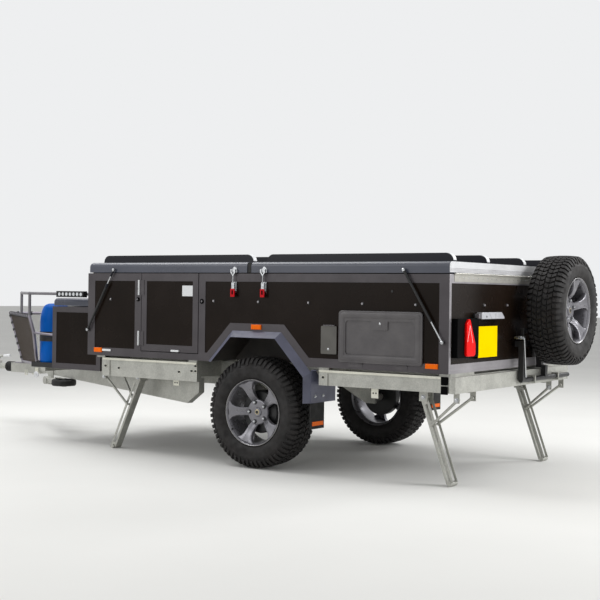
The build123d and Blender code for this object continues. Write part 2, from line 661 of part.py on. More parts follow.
def roof_rails(x0, x1):
    """Four bars along a lid, with rounded ends."""
    pieces = []
    for y in ROOF_RAIL_Y:
        bar = block(x0, x1, y - ROOF_RAIL_W / 2, y + ROOF_RAIL_W / 2, LID_Z1, LID_Z1 + ROOF_RAIL_H)
        pieces.append(fillet(bar.edges().filter_by(Axis.Y).group_by(Axis.Z)[-1], ROOF_RAIL_R))
    return Compound(children=pieces)


# Gas struts beside the body. Each entry: lid pin x, z and body pin x, z at rest.
STRUT_LID_Z = LID_Z0 + 19.0
FRONT_STRUT = (BODY_X0 + 279.0, STRUT_LID_Z, BODY_X0 + 13.0, BODY_Z1 - 434.0)
REAR_STRUT = (-318.0, STRUT_LID_Z, -38.0, BODY_Z1 - 429.0)
STRUT_Y = SIDE_Y + 18.0
STRUT_TUBE_R = 12.0
STRUT_ROD_R = 5.0
STRUT_LAP = 60.0
STRUT_BALL_R = 8.0


def strut_tube(strut, tube_at_lid):
    """Left strut's tube, from its own ball end towards the other."""
    lid_x, lid_z, low_x, low_z = strut
    a, b = ((lid_x, lid_z), (low_x, low_z)) if tube_at_lid else ((low_x, low_z), (lid_x, lid_z))
    length = hypot(b[0] - a[0], b[1] - a[1])
    ux, uz = (b[0] - a[0]) / length, (b[1] - a[1]) / length
    start, end = 14.0, length - 150.0
    y = -STRUT_Y
    mouth = (a[0] + ux * end, y, a[1] + uz * end)
    deep = (a[0] + ux * (end - STRUT_LAP - 40), y, a[1] + uz * (end - STRUT_LAP - 40))
    tube = rod((a[0] + ux * start, y, a[1] + uz * start), mouth, STRUT_TUBE_R)
    tube -= rod(deep, mouth, STRUT_ROD_R + FIT)
    tube += rod((a[0], y, a[1]), (a[0] + ux * start, y, a[1] + uz * start), STRUT_ROD_R)
    return tube + Pos(a[0], y, a[1]) * Sphere(STRUT_BALL_R)


def strut_rod(strut, tube_at_lid):
    """Left strut's rod, from its ball end up to the mouth of the tube."""
    lid_x, lid_z, low_x, low_z = strut
    a, b = ((lid_x, lid_z), (low_x, low_z)) if tube_at_lid else ((low_x, low_z), (lid_x, lid_z))
    length = hypot(b[0] - a[0], b[1] - a[1])
    ux, uz = (b[0] - a[0]) / length, (b[1] - a[1]) / length
    start = length - 150.0 - STRUT_LAP
    y = -STRUT_Y
    bar = rod((a[0] + ux * start, y, a[1] + uz * start), (b[0], y, b[1]), STRUT_ROD_R)
    return bar + Pos(b[0], y, b[1]) * Sphere(STRUT_BALL_R)


def beam_y(x):
    """Distance of a drawbar beam's centre line from the trailer's middle."""
    return BEAM_Y1 * (x - APEX_X) / (BEAM_X1 - APEX_X)


def nose_box():
    """Open-topped frame of the nose box, with a window in each outer side."""
    x0, x1, y = NOSE_X0, BODY_X0, NOSE_Y
    top = NOSE_SEAM_Z
    wall = NOSE_WALL
    box = block(x0, x1, -y, y, NOSE_Z0, top)
    box -= block(x0 + wall, x1 - wall, -y + wall, y - wall, NOSE_Z0 + wall, top + 1)
    edge = NOSE_FRAME
    box -= block(x0 + edge, x1 - edge, -y - 1, y + 1, NOSE_Z0 + edge, top - edge)
    box -= block(x0 - 1, x0 + NOSE_WALL + 1, -y + edge, y - edge, NOSE_Z0 + edge, top - edge)
    return box


def nose_panels():
    """Black panels that fill the nose box's windows, set in a little."""
    x0, x1, y, edge = NOSE_X0, BODY_X0, NOSE_Y, NOSE_FRAME
    z0, z1 = NOSE_Z0 + edge, NOSE_SEAM_Z - edge
    left = block(x0 + edge, x1 - edge, -y + PANEL_IN, -y + NOSE_WALL, z0, z1)
    front = block(x0 + PANEL_IN, x0 + NOSE_WALL, -y + edge, y - edge, z0, z1)
    return Compound(children=[left, mirrored(left), front])


def nose_lid():
    """Lid of the nose box: a shallow cap with a rounded front edge."""
    x0, x1 = NOSE_X0, BODY_X0 - RUN
    z0 = NOSE_SEAM_Z + NOSE_GAP
    cap = block(x0, x1, -NOSE_Y, NOSE_Y, z0, NOSE_Z1)
    front_edge = cap.edges().filter_by(Axis.Y).sort_by(Axis.Z)[-2:].sort_by(Axis.X)[0]
    cap = fillet(front_edge, LID_NOSE_R)
    side_edges = cap.edges().filter_by(Axis.X).sort_by(Axis.Z)[-2:]
    cap = fillet(side_edges, LID_EDGE_R)
    t = LID_T
    cap -= block(x0 + t, x1 - t, -NOSE_Y + t, NOSE_Y - t, z0 - 1, NOSE_Z1 - t)
    for y in NOSE_HINGE_Y:
        cap += block(NOSE_AXIS_X - 44, NOSE_AXIS_X - 4.4, y - 35, y + 35, NOSE_Z1, NOSE_Z1 + 3)
    return cap


def nose_hinges():
    """Barrels over the nose box lid's rear edge, on brackets on the body's front wall."""
    pieces = []
    for y in NOSE_HINGE_Y:
        barrel = cross_rod(NOSE_AXIS_X, NOSE_AXIS_Z, y - 35, y + 35, LID_AXIS_R)
        barrel += block(NOSE_AXIS_X, BODY_X0 + PANEL_IN, y - 35, y + 35, NOSE_AXIS_Z, NOSE_AXIS_Z + 4)
        barrel += block(BODY_X0 - 3, BODY_X0 + PANEL_IN, y - 35, y + 35, NOSE_AXIS_Z, NOSE_AXIS_Z + 40)
        pieces.append(barrel)
    return pieces


def guard_point(share, z):
    """Point of the left wing: share 0 is the front tube and 1 the outer edge."""
    return (GUARD_X - (z - GUARD_Z0) * GUARD_LEAN + share * GUARD_BACK, -share * GUARD_OUT, z)


def guard_outline():
    """Corners of the left wing of the stone guard."""
    return [guard_point(0, GUARD_Z0), guard_point(0, GUARD_Z1), guard_point(1, GUARD_Z1),
            guard_point(1, GUARD_MID_Z), guard_point(GUARD_LOW_SHARE, GUARD_LOW_Z)]


def tube_run(points, radius, close=False):
    """Straight round tubes between points, with a slightly larger ball weld at each corner."""
    ends = points + points[:1] if close else points
    run = rod(ends[0], ends[1], radius)
    for a, b in zip(ends[1:-1], ends[2:]):
        run += rod(a, b, radius)
    corners = points if close else points[1:-1]
    for corner in corners:
        run += Pos(*corner) * Sphere(radius + 1.5)
    return run


def stone_guard():
    """Both wings' tubes on a short foot, and the tray under the gas bottle."""
    left = tube_run(guard_outline(), GUARD_R, close=True)
    corner = guard_point(1, GUARD_MID_Z)
    left += rod(corner, (NOSE_X0, -NOSE_Y + GUARD_R, STAY_Z), GUARD_R - 3)
    left -= block(NOSE_X0, NOSE_X0 + 50, -NOSE_Y - 20, -NOSE_Y + 60, STAY_Z - 40, STAY_Z + 40)
    foot = block(GUARD_X - 70, GUARD_X + 70, -35, 35, NOSE_BEAM_Z1, NOSE_BEAM_Z1 + 6)
    return left + mirrored(left) + foot


def guard_mesh():
    """Mesh of both wings as thin sheets between the tubes."""
    sheet = extrude(make_face(Polyline(*guard_outline(), close=True)), amount=MESH_T / 2, both=True)
    inside = (sheet - tube_run(guard_outline(), GUARD_R, close=True)).solids().sort_by(SortBy.VOLUME)[-1]
    return both_sides(inside)


def support_rack():
    """Posts on the guard's top tubes and rails back to the body's front wall."""
    post_b, post_a = guard_point(1, GUARD_Z1), guard_point(POST_SHARE, GUARD_Z1)
    top_a, top_b = (post_a[0], post_a[1], RACK_Z), (post_b[0], post_b[1], RACK_Z)
    wall = (BODY_X0, post_b[1], RACK_Z)
    left = rod(post_b, top_b, RACK_R) + rod(post_a, top_a, RACK_R)
    left -= tube_run(guard_outline(), GUARD_R, close=True)
    left += tube_run([top_a, top_b, wall], RACK_R) + Pos(*top_a) * Sphere(RACK_R + 1.5)
    left += block(BODY_X0 - 5, BODY_X0 + PANEL_IN, post_b[1] - 25, post_b[1] + 25, RACK_Z - 25, RACK_Z + 20)
    return both_sides(left)


def light_bar():
    """Work light on the left rail: a finned box with a row of lamps."""
    y = -GUARD_OUT - RACK_R
    mid_z = (LIGHT_Z0 + LIGHT_Z1) / 2
    body = block(LIGHT_X0, LIGHT_X1, y - LIGHT_D, y, LIGHT_Z0, LIGHT_Z1)
    pitch = (LIGHT_X1 - LIGHT_X0 - 20) / 7
    for i in range(7):
        x = LIGHT_X0 + 10 + (i + 0.5) * pitch
        body -= cross_rod(x, mid_z, y - LIGHT_D - 1, y - LIGHT_D + 8, pitch / 2 - 3)
    return body


def gas_bottle():
    """Gas bottle: a foot ring, a drum with rounded ends and a collar."""
    z0 = TRAY_Z + TRAY_T
    z1 = BOTTLE_Z1 - 60
    r = BOTTLE_R
    with BuildPart() as drum:
        with BuildSketch(Plane.XZ):
            with BuildLine():
                Polyline((0, z0), (r - 22, z0), (r - 22, z0 + 20), (r, z0 + 60), (r, z1 - 90))
                ThreePointArc((r, z1 - 90), (r * 0.77, z1 - 22), (BOTTLE_NECK_R, z1))
                Polyline((BOTTLE_NECK_R, z1), (BOTTLE_NECK_R, BOTTLE_Z1 - 20), (0, BOTTLE_Z1 - 20), (0, z0))
            make_face()
        revolve(axis=Axis.Z)
    collar = revolved([(BOTTLE_NECK_R, z1), (BOTTLE_NECK_R + 20, z1 - 20), (BOTTLE_NECK_R + 20, BOTTLE_Z1),
                       (BOTTLE_NECK_R + 14, BOTTLE_Z1), (BOTTLE_NECK_R + 14, z1 + 5)])
    return Pos(BOTTLE_X, BOTTLE_Y, 0) * (drum.part + collar)


def bottle_holder():
    """Tray on the drawbar's cross tube, and the strap that ties the bottle to the nose box."""
    half = BOTTLE_R + 10
    tray = block(BOTTLE_X - half, BOTTLE_X + half, BOTTLE_Y - half, BOTTLE_Y + half, TRAY_Z, TRAY_Z + 40)
    tray -= block(BOTTLE_X - half + 4, BOTTLE_X + half - 4, BOTTLE_Y - half + 4, BOTTLE_Y + half - 4,
                  TRAY_Z + TRAY_T, TRAY_Z + 41)
    r0, r1 = BOTTLE_R + FIT, BOTTLE_R + FIT + STRAP_T
    strap = revolved([(r0, STRAP_Z0), (r1, STRAP_Z0), (r1, STRAP_Z1), (r0, STRAP_Z1)])
    strap = Pos(BOTTLE_X, BOTTLE_Y, 0) * strap
    lug = block(BOTTLE_X + BOTTLE_R + 1, NOSE_X0, BOTTLE_Y - 20, BOTTLE_Y + 20, STRAP_Z0, STRAP_Z1)
    return Compound(children=[tray, strap + lug])


# Jockey wheel, swung up under the left beam; places along and across that beam
JOCKEY_CLAMP_U = 388.0
JOCKEY_U = 700.0
JOCKEY_V = -BEAM_T / 2 - 34.0
JOCKEY_Z = 424.0
JOCKEY_R = 105.0
JOCKEY_W = 54.0
JOCKEY_PIN_R = 6.0


def on_left_beam(shape):
    """Carry a shape from beam coordinates (along, across, up) to its place."""
    angle = degrees(atan2(BEAM_Y1, BEAM_X1 - APEX_X))
    return Pos(APEX_X, 0, 0) * Rot(0, 0, -angle) * shape


def jockey_mount():
    """Swivel plate on the left beam, with the jockey wheel's leg swung up along it."""
    u, v, z = JOCKEY_CLAMP_U, JOCKEY_V, JOCKEY_Z
    face = -BEAM_T / 2
    plate = block(u - 50, u + 50, face - 8, face, z - 40, BEAM_TIP_Z1 - 20)
    clamp = rod((u, face - 8, z), (u, v - 30, z), 34)
    leg_end = JOCKEY_U - JOCKEY_R - 14
    tube = rod((u - 40, v, z), (leg_end, v, z), 24)
    half = JOCKEY_W / 2
    fork = block(leg_end - 10, leg_end + 6, v - 25, v + 25, z - half - 10, z + half + 10)
    for low, high in ((-half - 10, -half - 5), (half + 5, half + 10)):
        fork += block(leg_end, JOCKEY_U + 16, v - 18, v + 18, z + low, z + high)
    pin = rod((JOCKEY_U, v, z - half - 8), (JOCKEY_U, v, z + half + 8), JOCKEY_PIN_R)
    return on_left_beam(plate + clamp + tube + fork + pin)


def jockey_wheel():
    """Small wheel with a solid tyre, on its side while stowed."""
    half, r = JOCKEY_W / 2, JOCKEY_R
    outline = [(JOCKEY_PIN_R + FIT, -half), (20, -half), (22, 12 - half), (r - 40, 12 - half),
               (r - 32, -half), (r - 8, -half), (r, 12 - half), (r, half - 12), (r - 8, half), (r - 32, half),
               (r - 40, half - 12), (22, half - 12), (20, half), (JOCKEY_PIN_R + FIT, half)]
    return on_left_beam(Pos(JOCKEY_U, JOCKEY_V, JOCKEY_Z) * revolved(outline))


def leg_places():
    """Each corner leg: name, pivot x, the way it leans, its lean from upright, and its side."""
    rows = []
    ends = (("front", FRONT_LEG_X, -1, FRONT_TOE), ("rear", REAR_LEG_X, 1, REAR_TOE))
    for end, leg_x, toward, toe in ends:
        for side_name, side in (("left", -1), ("right", 1)):
            rows.append((f"{end}_{side_name}", leg_x, toward, toe, side))
    return rows


def leg(leg_x, toward, toe, side):
    """Corner leg: a slotted channel from its pivot pin to a round foot."""
    length = (LEG_PIVOT_Z - LEG_FOOT_R) / cos(radians(toe))
    half_d, half_w = LEG_D / 2, LEG_W / 2
    channel = block(-half_d, half_d, -half_w, half_w, 4 - length, half_d)
    channel = fillet(channel.edges().filter_by(Axis.Y).sort_by(Axis.Z)[-2:], half_d - 2)
    hollow = block(-half_d + LEG_T, half_d + 1, -half_w + LEG_T, half_w - LEG_T, -length, half_d + 1)
    channel -= hollow if toward > 0 else mirror(hollow, about=Plane.YZ)
    slot = BRACE_PIN_R + 2
    channel -= block(-slot, slot, -half_w - 1, half_w + 1, -160, -50)
    channel -= block(-slot, slot, -half_w - 1, half_w + 1, -2 * BRACE_L - BRACE_PIN_R, -176)
    channel += cross_rod(0, 0, -half_w - EAR_T - 6, half_w + EAR_T + 6, LEG_PIN_R)
    channel += cross_rod(0, -length, -half_w - 12, half_w + 12, LEG_FOOT_R)
    return Pos(leg_x, side * LEG_Y, LEG_PIVOT_Z) * Rot(0, -toward * toe, 0) * channel


def brace(leg_x, toward, toe, side):
    """V-shaped brace from two ears to the pin that runs in the leg's slots."""
    reach = 2 * BRACE_L * sin(radians(toe))
    tip_x = leg_x + toward * reach * sin(radians(toe))
    tip_z = LEG_PIVOT_Z - reach * cos(radians(toe))
    top_x = leg_x + toward * BRACE_L
    y = side * LEG_Y
    near = LEG_W / 2 + BRACE_R + 2
    wide = BRACE_SPREAD - BRACE_R - 2
    shape = cross_rod(tip_x, tip_z, y - near - BRACE_R, y + near + BRACE_R, BRACE_PIN_R)
    for face in (-1, 1):
        top, tip = (top_x, y + face * wide, LEG_PIVOT_Z), (tip_x, y + face * near, tip_z)
        shape += rod(top, tip, BRACE_R) + Pos(*tip) * Sphere(BRACE_R)
        eye_y, pin_y = top[1], y + face * (BRACE_SPREAD + 2 * EAR_T)
        shape += cross_rod(top_x, LEG_PIVOT_Z, eye_y - BRACE_R, eye_y + BRACE_R, BRACE_R + 3)
        shape += cross_rod(top_x, LEG_PIVOT_Z, eye_y, pin_y, BRACE_PIN_R)
    return shape


def spare_carrier():
    """Folding carrier: hinge tube, post, cranked mast and the drum the spare bolts to."""
    bar = cross_rod(CARRIER_X, CARRIER_Z, CARRIER_Y0 - POST_W / 2, CARRIER_Y1, CARRIER_R)
    post_y0, post_y1 = CARRIER_Y0 - POST_W / 2, CARRIER_Y0 + POST_W / 2
    bar += block(CARRIER_X - 18, CARRIER_X + 18, post_y0, post_y1, CARRIER_Z, POST_TOP_Z)
    mast_x0, mast_x1 = MAST_X - MAST / 2, MAST_X + MAST / 2
    y0, y1 = SPARE_Y - MAST / 2, SPARE_Y + MAST / 2
    bar += block(CARRIER_X - 17, CARRIER_X + 17, y0, y1, CARRIER_Z, CHASSIS_Z1 + 20)
    bar += block(mast_x0, CARRIER_X + 17, y0, y1, CHASSIS_Z1 + 2, CHASSIS_Z1 + 20)
    bar += block(mast_x0, mast_x1, y0, y1, CHASSIS_Z1 + 2, SPARE_Z + 60)
    bar += block(mast_x0 + 10, CARRIER_X - 16, post_y0, y0, POST_TOP_Z - 40, POST_TOP_Z)
    mount_x = SPARE_X + MOUNT_OFFSET
    bar += rod((mast_x0, SPARE_Y, SPARE_Z), (mount_x, SPARE_Y, SPARE_Z), HUB_R - 4)
    return bar


def carrier_lugs():
    """Lugs on the rear beam that the carrier's hinge tube turns in."""
    lugs = []
    for y in LUG_Y:
        lug = block(REAR_BEAM_X1, CARRIER_X + 26, y - 6, y + 6, CARRIER_Z - 26, CARRIER_Z + 26)
        lugs.append(lug - cross_rod(CARRIER_X, CARRIER_Z, y - 7, y + 7, CARRIER_R + FIT))
    return lugs


# Rear lamps: outer and inner |y|, bottom and top z
LAMP = (SIDE_Y - 40.0, SIDE_Y - 340.0, 828.0, 1075.0)
LENS = (SIDE_Y - 140.0, SIDE_Y - 269.0, 835.0, 1071.0)
LENS_TIP_Y = SIDE_Y - 180.0
LENS_TIP_HALF = 9.0
LENS_INNER_Z = 912.0
LENS_OUTER_Z = 1043.0
LAMP_D = 40.0
LENS_D = 15.0
PLATE_W = 285.0
PLATE_H = 203.0
PLATE_Y = -SIDE_Y + 511.0
PLATE_Z = 920.0
PLATE_LAMP = (-SIDE_Y + 349.0, -SIDE_Y + 772.0, 1072.0, 1118.0, 57.0)


def lamp_housing():
    """Left tail lamp's housing on the rear panel."""
    y0, y1, z0, z1 = LAMP
    shape = block(-PANEL_IN, LAMP_D, -y0, -y1, z0, z1)
    return fillet(shape.edges().filter_by(Axis.X), 14)


def lamp_lens():
    """Left tail lamp's red lens, a drop that narrows towards its top."""
    y0, y1, z0, z1 = LENS
    outline = Polyline((-y0, z0), (-y1, z0), (-y1, LENS_INNER_Z), (-LENS_TIP_Y + LENS_TIP_HALF, z1),
                       (-LENS_TIP_Y - LENS_TIP_HALF, z1), (-y0, LENS_OUTER_Z), close=True)
    shape = extrude(Pos(LAMP_D, 0, 0) * (Plane.YZ * make_face(outline)), amount=LENS_D)
    edges = shape.edges().filter_by(Axis.X).sort_by(Axis.Z)
    shape = fillet(edges[:2], 24)
    shape = fillet(shape.edges().filter_by(Axis.X).sort_by(Axis.Z)[-4:], 8)
    return fillet(shape.faces().sort_by(Axis.X)[-1].edges(), 5)


def plate_backing():
    """Black backing of the number plate."""
    wide, high = PLATE_W / 2 + 6, PLATE_H / 2 + 6
    return block(-PANEL_IN, 22, PLATE_Y - wide, PLATE_Y + wide, PLATE_Z - high, PLATE_Z + high)


def number_plate():
    """Blank yellow plate."""
    wide, high = PLATE_W / 2, PLATE_H / 2
    return block(22, 24, PLATE_Y - wide, PLATE_Y + wide, PLATE_Z - high, PLATE_Z + high)


def plate_lamp():
    """Long pale lamp over the number plate."""
    y0, y1, z0, z1, deep = PLATE_LAMP
    shape = block(-PANEL_IN, deep, y0, y1, z0, z1)
    return fillet(shape.edges().filter_by(Axis.Y).sort_by(Axis.X)[-2:], 12)


# Orange side markers: x0, x1, z0, z1
MARKERS = ((-160.0, -73.0, BODY_Z0 + 29.0, BODY_Z0 + 61.0),
           (ARCH_X - 42.0, ARCH_X + 42.0, ARCH_TOP_Z - 40.0, ARCH_TOP_Z - 6.0),
           (BODY_X0 + 75.0, BODY_X0 + 155.0, BODY_Z0 + 24.0, BODY_Z0 + 58.0))
MARKER_OUT = 12.0


def side_markers():
    """Orange marker lamps along both sides."""
    pieces = []
    for x0, x1, z0, z1 in MARKERS:
        lamp = block(x0, x1, -SIDE_Y - MARKER_OUT, -SIDE_Y, z0, z1)
        lamp = chamfer(lamp.faces().sort_by(Axis.Y)[0].edges(), 4)
        pieces += [lamp, mirrored(lamp)]
    return Compound(children=pieces)


# Lid latches, one for each lid on each side of the lids' seam
LATCH_X = (LID_SPLIT_X - 126.0, LID_SPLIT_X + 132.0)
KEEPER_HALF = 6.0
KEEPER_Z0 = LID_Z0 + 4.0
KEEPER_Z1 = LID_Z0 + 18.0
KEEPER_OUT = 14.0
LATCH_OUT = 16.0
LATCH_T = 8.0
LATCH_ROD_R = 4.0
# Blocks of a latch, from its base to its handle: half width, bottom and top below the body's top,
# and how far it reaches from the side's face to its own
LATCH_BLOCKS = ((20.0, 139.0, 58.0, -PANEL_IN, 4.0), (12.0, 122.0, 64.0, 4.0, 22.0),
                (16.0, 163.0, 108.0, 19.0, 26.0))


def lid_latches():
    """Toggle latches: base, body, handle, and a rod up to the ring round the lid's keeper."""
    pieces = []
    for x in LATCH_X:
        latch = None
        for half, low, high, inner, outer in LATCH_BLOCKS:
            bar = block(x - half, x + half, -SIDE_Y - outer, -SIDE_Y - inner, BODY_Z1 - low, BODY_Z1 - high)
            latch = bar if latch is None else latch + bar
        rod_y = -SIDE_Y - LATCH_OUT - LATCH_T / 2
        latch += rod((x, rod_y, BODY_Z1 - 69), (x, rod_y, BODY_Z1 - 12), LATCH_ROD_R)
        latch += latch_ring(x, 21, -20, 8, 30) - latch_ring(x, 11, -8, 12, 26)
        pieces += [latch, mirrored(latch)]
    return Compound(children=pieces)


def latch_ring(x, half, tip, side, top):
    """Pointed plate of a latch's ring; its heights are counted from the body's top."""
    side_z, top_z = BODY_Z1 + side, BODY_Z1 + top
    outline = [(x, BODY_Z1 + tip), (x + half, side_z), (x + half, top_z), (x - half, top_z), (x - half, side_z)]
    return side_prism(outline, -SIDE_Y - LATCH_OUT - LATCH_T, -SIDE_Y - LATCH_OUT)


def keeper(x):
    """Left keeper on a lid's side, inside the latch's ring."""
    return block(x - KEEPER_HALF, x + KEEPER_HALF, -SIDE_Y - KEEPER_OUT, -SIDE_Y, KEEPER_Z0, KEEPER_Z1)


def lid_fittings(shell, latch_x, strut):
    """Add the keepers and the strut pins to a lid."""
    lid_x, lid_z = strut[0], strut[1]
    pin = cross_rod(lid_x, lid_z, -STRUT_Y + STRUT_BALL_R + FIT, -SIDE_Y, STRUT_ROD_R)
    for piece in (keeper(latch_x), pin):
        shell += piece
        shell += mirrored(piece)
    return shell


def strut_anchors():
    """Pins and plates on the body that the struts' lower ends sit on."""
    pieces = []
    for strut in (FRONT_STRUT, REAR_STRUT):
        x, z = strut[2], strut[3]
        pin = cross_rod(x, z, -STRUT_Y + STRUT_BALL_R + FIT, -SIDE_Y - 3, STRUT_ROD_R)
        pin += block(x - 9, x + 9, -SIDE_Y - 3, -SIDE_Y, z - 16, z + 16)
        pieces += [pin, mirrored(pin)]
    return pieces


def lid_hinges():
    """Long hinge barrels at the body's two ends, each with its fixed leaf."""
    pieces = []
    for x, face in ((BODY_X0, -1), (0.0, 1)):
        barrel = cross_rod(x + face * HINGE_OUT, LID_AXIS_Z, -SIDE_Y + 60, SIDE_Y - 60, LID_AXIS_R)
        leaf = block(x, x + face * 4, -SIDE_Y + 60, SIDE_Y - 60, RAIL_Z + 10, BODY_Z1)
        web = block(x, x + face * HINGE_OUT, -SIDE_Y + 60, SIDE_Y - 60, BODY_Z1 - 5, BODY_Z1)
        pieces.append(barrel + leaf + web)
    return pieces


parts = {}


def node(name, shape):
    """Keep a finished piece under its name, as plain solids."""
    solids = shape.solids()
    parts[name] = solids[0] if len(solids) == 1 else Compound(children=list(solids))


node("chassis_frame", chassis())
node("drawbar", drawbar())
node("coupling_head", coupling())
node("coupling_boot", gaiter())
node("jockey_mount", jockey_mount())
node("jockey_wheel", jockey_wheel())
node("axle_and_arms", axle())
node("body_floor", floor_pan() + wheel_box() + mirrored(wheel_box()))
node("side_frame_left", side_frame(True))
node("side_frame_right", mirrored(side_frame(False)))
node("side_panels_left", side_panels(True))
node("side_panels_right", mirrored(side_panels(False)))
node("front_wall", end_wall(BODY_X0, BODY_X0 + WALL))
node("rear_wall", end_wall(-WALL, 0))
node("wheel_flares", both_sides(flare() + flap_plate()))
node("mud_flaps", both_sides(mud_flap()))
node("side_markers", side_markers())
node("rear_lamp_housings", Compound(children=[lamp_housing(), mirrored(lamp_housing()), plate_backing()]))
node("tail_lamp_lenses", both_sides(lamp_lens()))
node("number_plate", number_plate())
node("plate_lamp", plate_lamp())
node("lid_latches", lid_latches())
hardware = lid_hinges() + nose_hinges() + strut_anchors() + door_hinges() + hatch_hinges()
node("hinges_and_pins", Compound(children=hardware))
node("door", door())
node("side_hatch", hatch())
node("hookup_flap", hookup_flap())

gap_x0, gap_x1 = LID_SPLIT_X - LID_GAP / 2, LID_SPLIT_X + LID_GAP / 2
node("front_lid", lid_fittings(lid(BODY_X0, gap_x0, BODY_X0, True), LATCH_X[0], FRONT_STRUT))
node("rear_lid", lid_fittings(lid(gap_x1, 0, 0, False), LATCH_X[1], REAR_STRUT))
node("front_lid_rails", roof_rails(BODY_X0 + ROOF_RAIL_END, gap_x0 - ROOF_RAIL_END))
node("rear_lid_rails", roof_rails(gap_x1 + ROOF_RAIL_END, -ROOF_RAIL_END))
node("lid_seal", block(gap_x0, gap_x1 - RUN, -SIDE_Y + 4, SIDE_Y - 4, LID_Z0, LID_Z1 - 4))
node("front_strut_tubes", both_sides(strut_tube(FRONT_STRUT, False)))
node("front_strut_rods", both_sides(strut_rod(FRONT_STRUT, False)))
node("rear_strut_tubes", both_sides(strut_tube(REAR_STRUT, True)))
node("rear_strut_rods", both_sides(strut_rod(REAR_STRUT, True)))

node("nose_box", nose_box())
node("nose_box_panels", nose_panels())
node("nose_box_lid", nose_lid())
node("stone_guard", stone_guard())
node("guard_mesh", guard_mesh())
node("support_rack", support_rack())
node("light_bar", light_bar())
node("gas_bottle", gas_bottle())
node("bottle_holder", bottle_holder())

node("spare_carrier", spare_carrier())
spare_at = wheel_frame(SPARE_X, SPARE_Y, SPARE_Z, (1, 0, 0), (0, 0, 1))
node("spare_tyre", spare_at * tyre_shape())
node("spare_rim", spare_at * rim_shape())

for name, leg_x, toward, toe, side in leg_places():
    node(f"leg_{name}", leg(leg_x, toward, toe, side))
    node(f"brace_{name}", brace(leg_x, toward, toe, side))

for side_name, side in (("left", -1), ("right", 1)):
    at = wheel_frame(WHEEL_X, side * TRACK_Y, TYRE_R, (0, side, 0), (-1, 0, 0))
    node(f"tyre_{side_name}", at * tyre_shape())
    node(f"rim_{side_name}", at * (rim_shape() + drum_shape()))

os.makedirs("parts", exist_ok=True)
for name, shape in parts.items():
    export_step(Pos(X_SHIFT, 0, 0) * shape, f"parts/{name}.step")
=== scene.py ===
import json
from math import cos, pi, radians, sin

import bmesh
import bpy
from mathutils import Matrix, Vector


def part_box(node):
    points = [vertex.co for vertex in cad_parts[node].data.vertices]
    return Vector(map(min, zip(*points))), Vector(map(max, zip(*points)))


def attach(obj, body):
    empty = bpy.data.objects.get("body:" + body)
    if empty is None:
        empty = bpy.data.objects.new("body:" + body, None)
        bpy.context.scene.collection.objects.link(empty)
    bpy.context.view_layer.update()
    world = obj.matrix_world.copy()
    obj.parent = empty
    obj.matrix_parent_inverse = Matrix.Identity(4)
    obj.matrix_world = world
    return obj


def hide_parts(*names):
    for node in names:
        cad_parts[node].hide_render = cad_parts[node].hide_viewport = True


# Off-road camper trailer. Metres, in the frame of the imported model: x rearwards, y to the
# trailer's right, z up. The camera stands at the rear left.
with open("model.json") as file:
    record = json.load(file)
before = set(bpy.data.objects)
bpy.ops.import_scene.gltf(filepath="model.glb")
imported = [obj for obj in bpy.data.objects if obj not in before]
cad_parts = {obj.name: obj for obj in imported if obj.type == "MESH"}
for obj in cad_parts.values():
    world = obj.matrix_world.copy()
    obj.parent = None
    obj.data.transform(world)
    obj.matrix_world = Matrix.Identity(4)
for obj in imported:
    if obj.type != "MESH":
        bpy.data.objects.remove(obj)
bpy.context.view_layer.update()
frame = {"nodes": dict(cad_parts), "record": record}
nodes = frame["nodes"]
slot_of = {entry["node"]: entry["material_slot"] for entry in frame["record"]["subparts"]}


def corner(node, which):
    """Low (0) or high (1) corner of a node's box at rest."""
    return Vector(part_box(node)[which])


def middle(node):
    """Middle of a node's box at rest."""
    return (corner(node, 0) + corner(node, 1)) / 2


# The body's own grid: x from its rear face, y from its middle, z from the ground, in mm.
# SIDE is the y of the side frames, PANEL and REAR_PANEL are the faces of the panels sunk in the frames.
REAR_FACE = corner("side_frame_left", 1).x
SIDE = -corner("side_frame_left", 0).y * 1000
PANEL = SIDE - 3
REAR_PANEL = -3
FRONT_FACE = -3105
BOTH = (-1, 1)


def at(x, y, z):
    """Place in the frame of a point of the body's grid."""
    return Vector((REAR_FACE + x / 1000, y / 1000, z / 1000))


# Colours


def linear(level):
    """One channel from 0 to 255 as linear light."""
    share = level / 255
    return share / 12.92 if share <= 0.04045 else ((share + 0.055) / 1.055) ** 2.4


def tone(red, green, blue):
    """Colour from 0 to 255 as a linear colour with alpha."""
    return (linear(red), linear(green), linear(blue), 1.0)


# Part of a noise's range that is spread over the whole of a ramp
NOISE_LOW = 0.3
NOISE_HIGH = 0.7


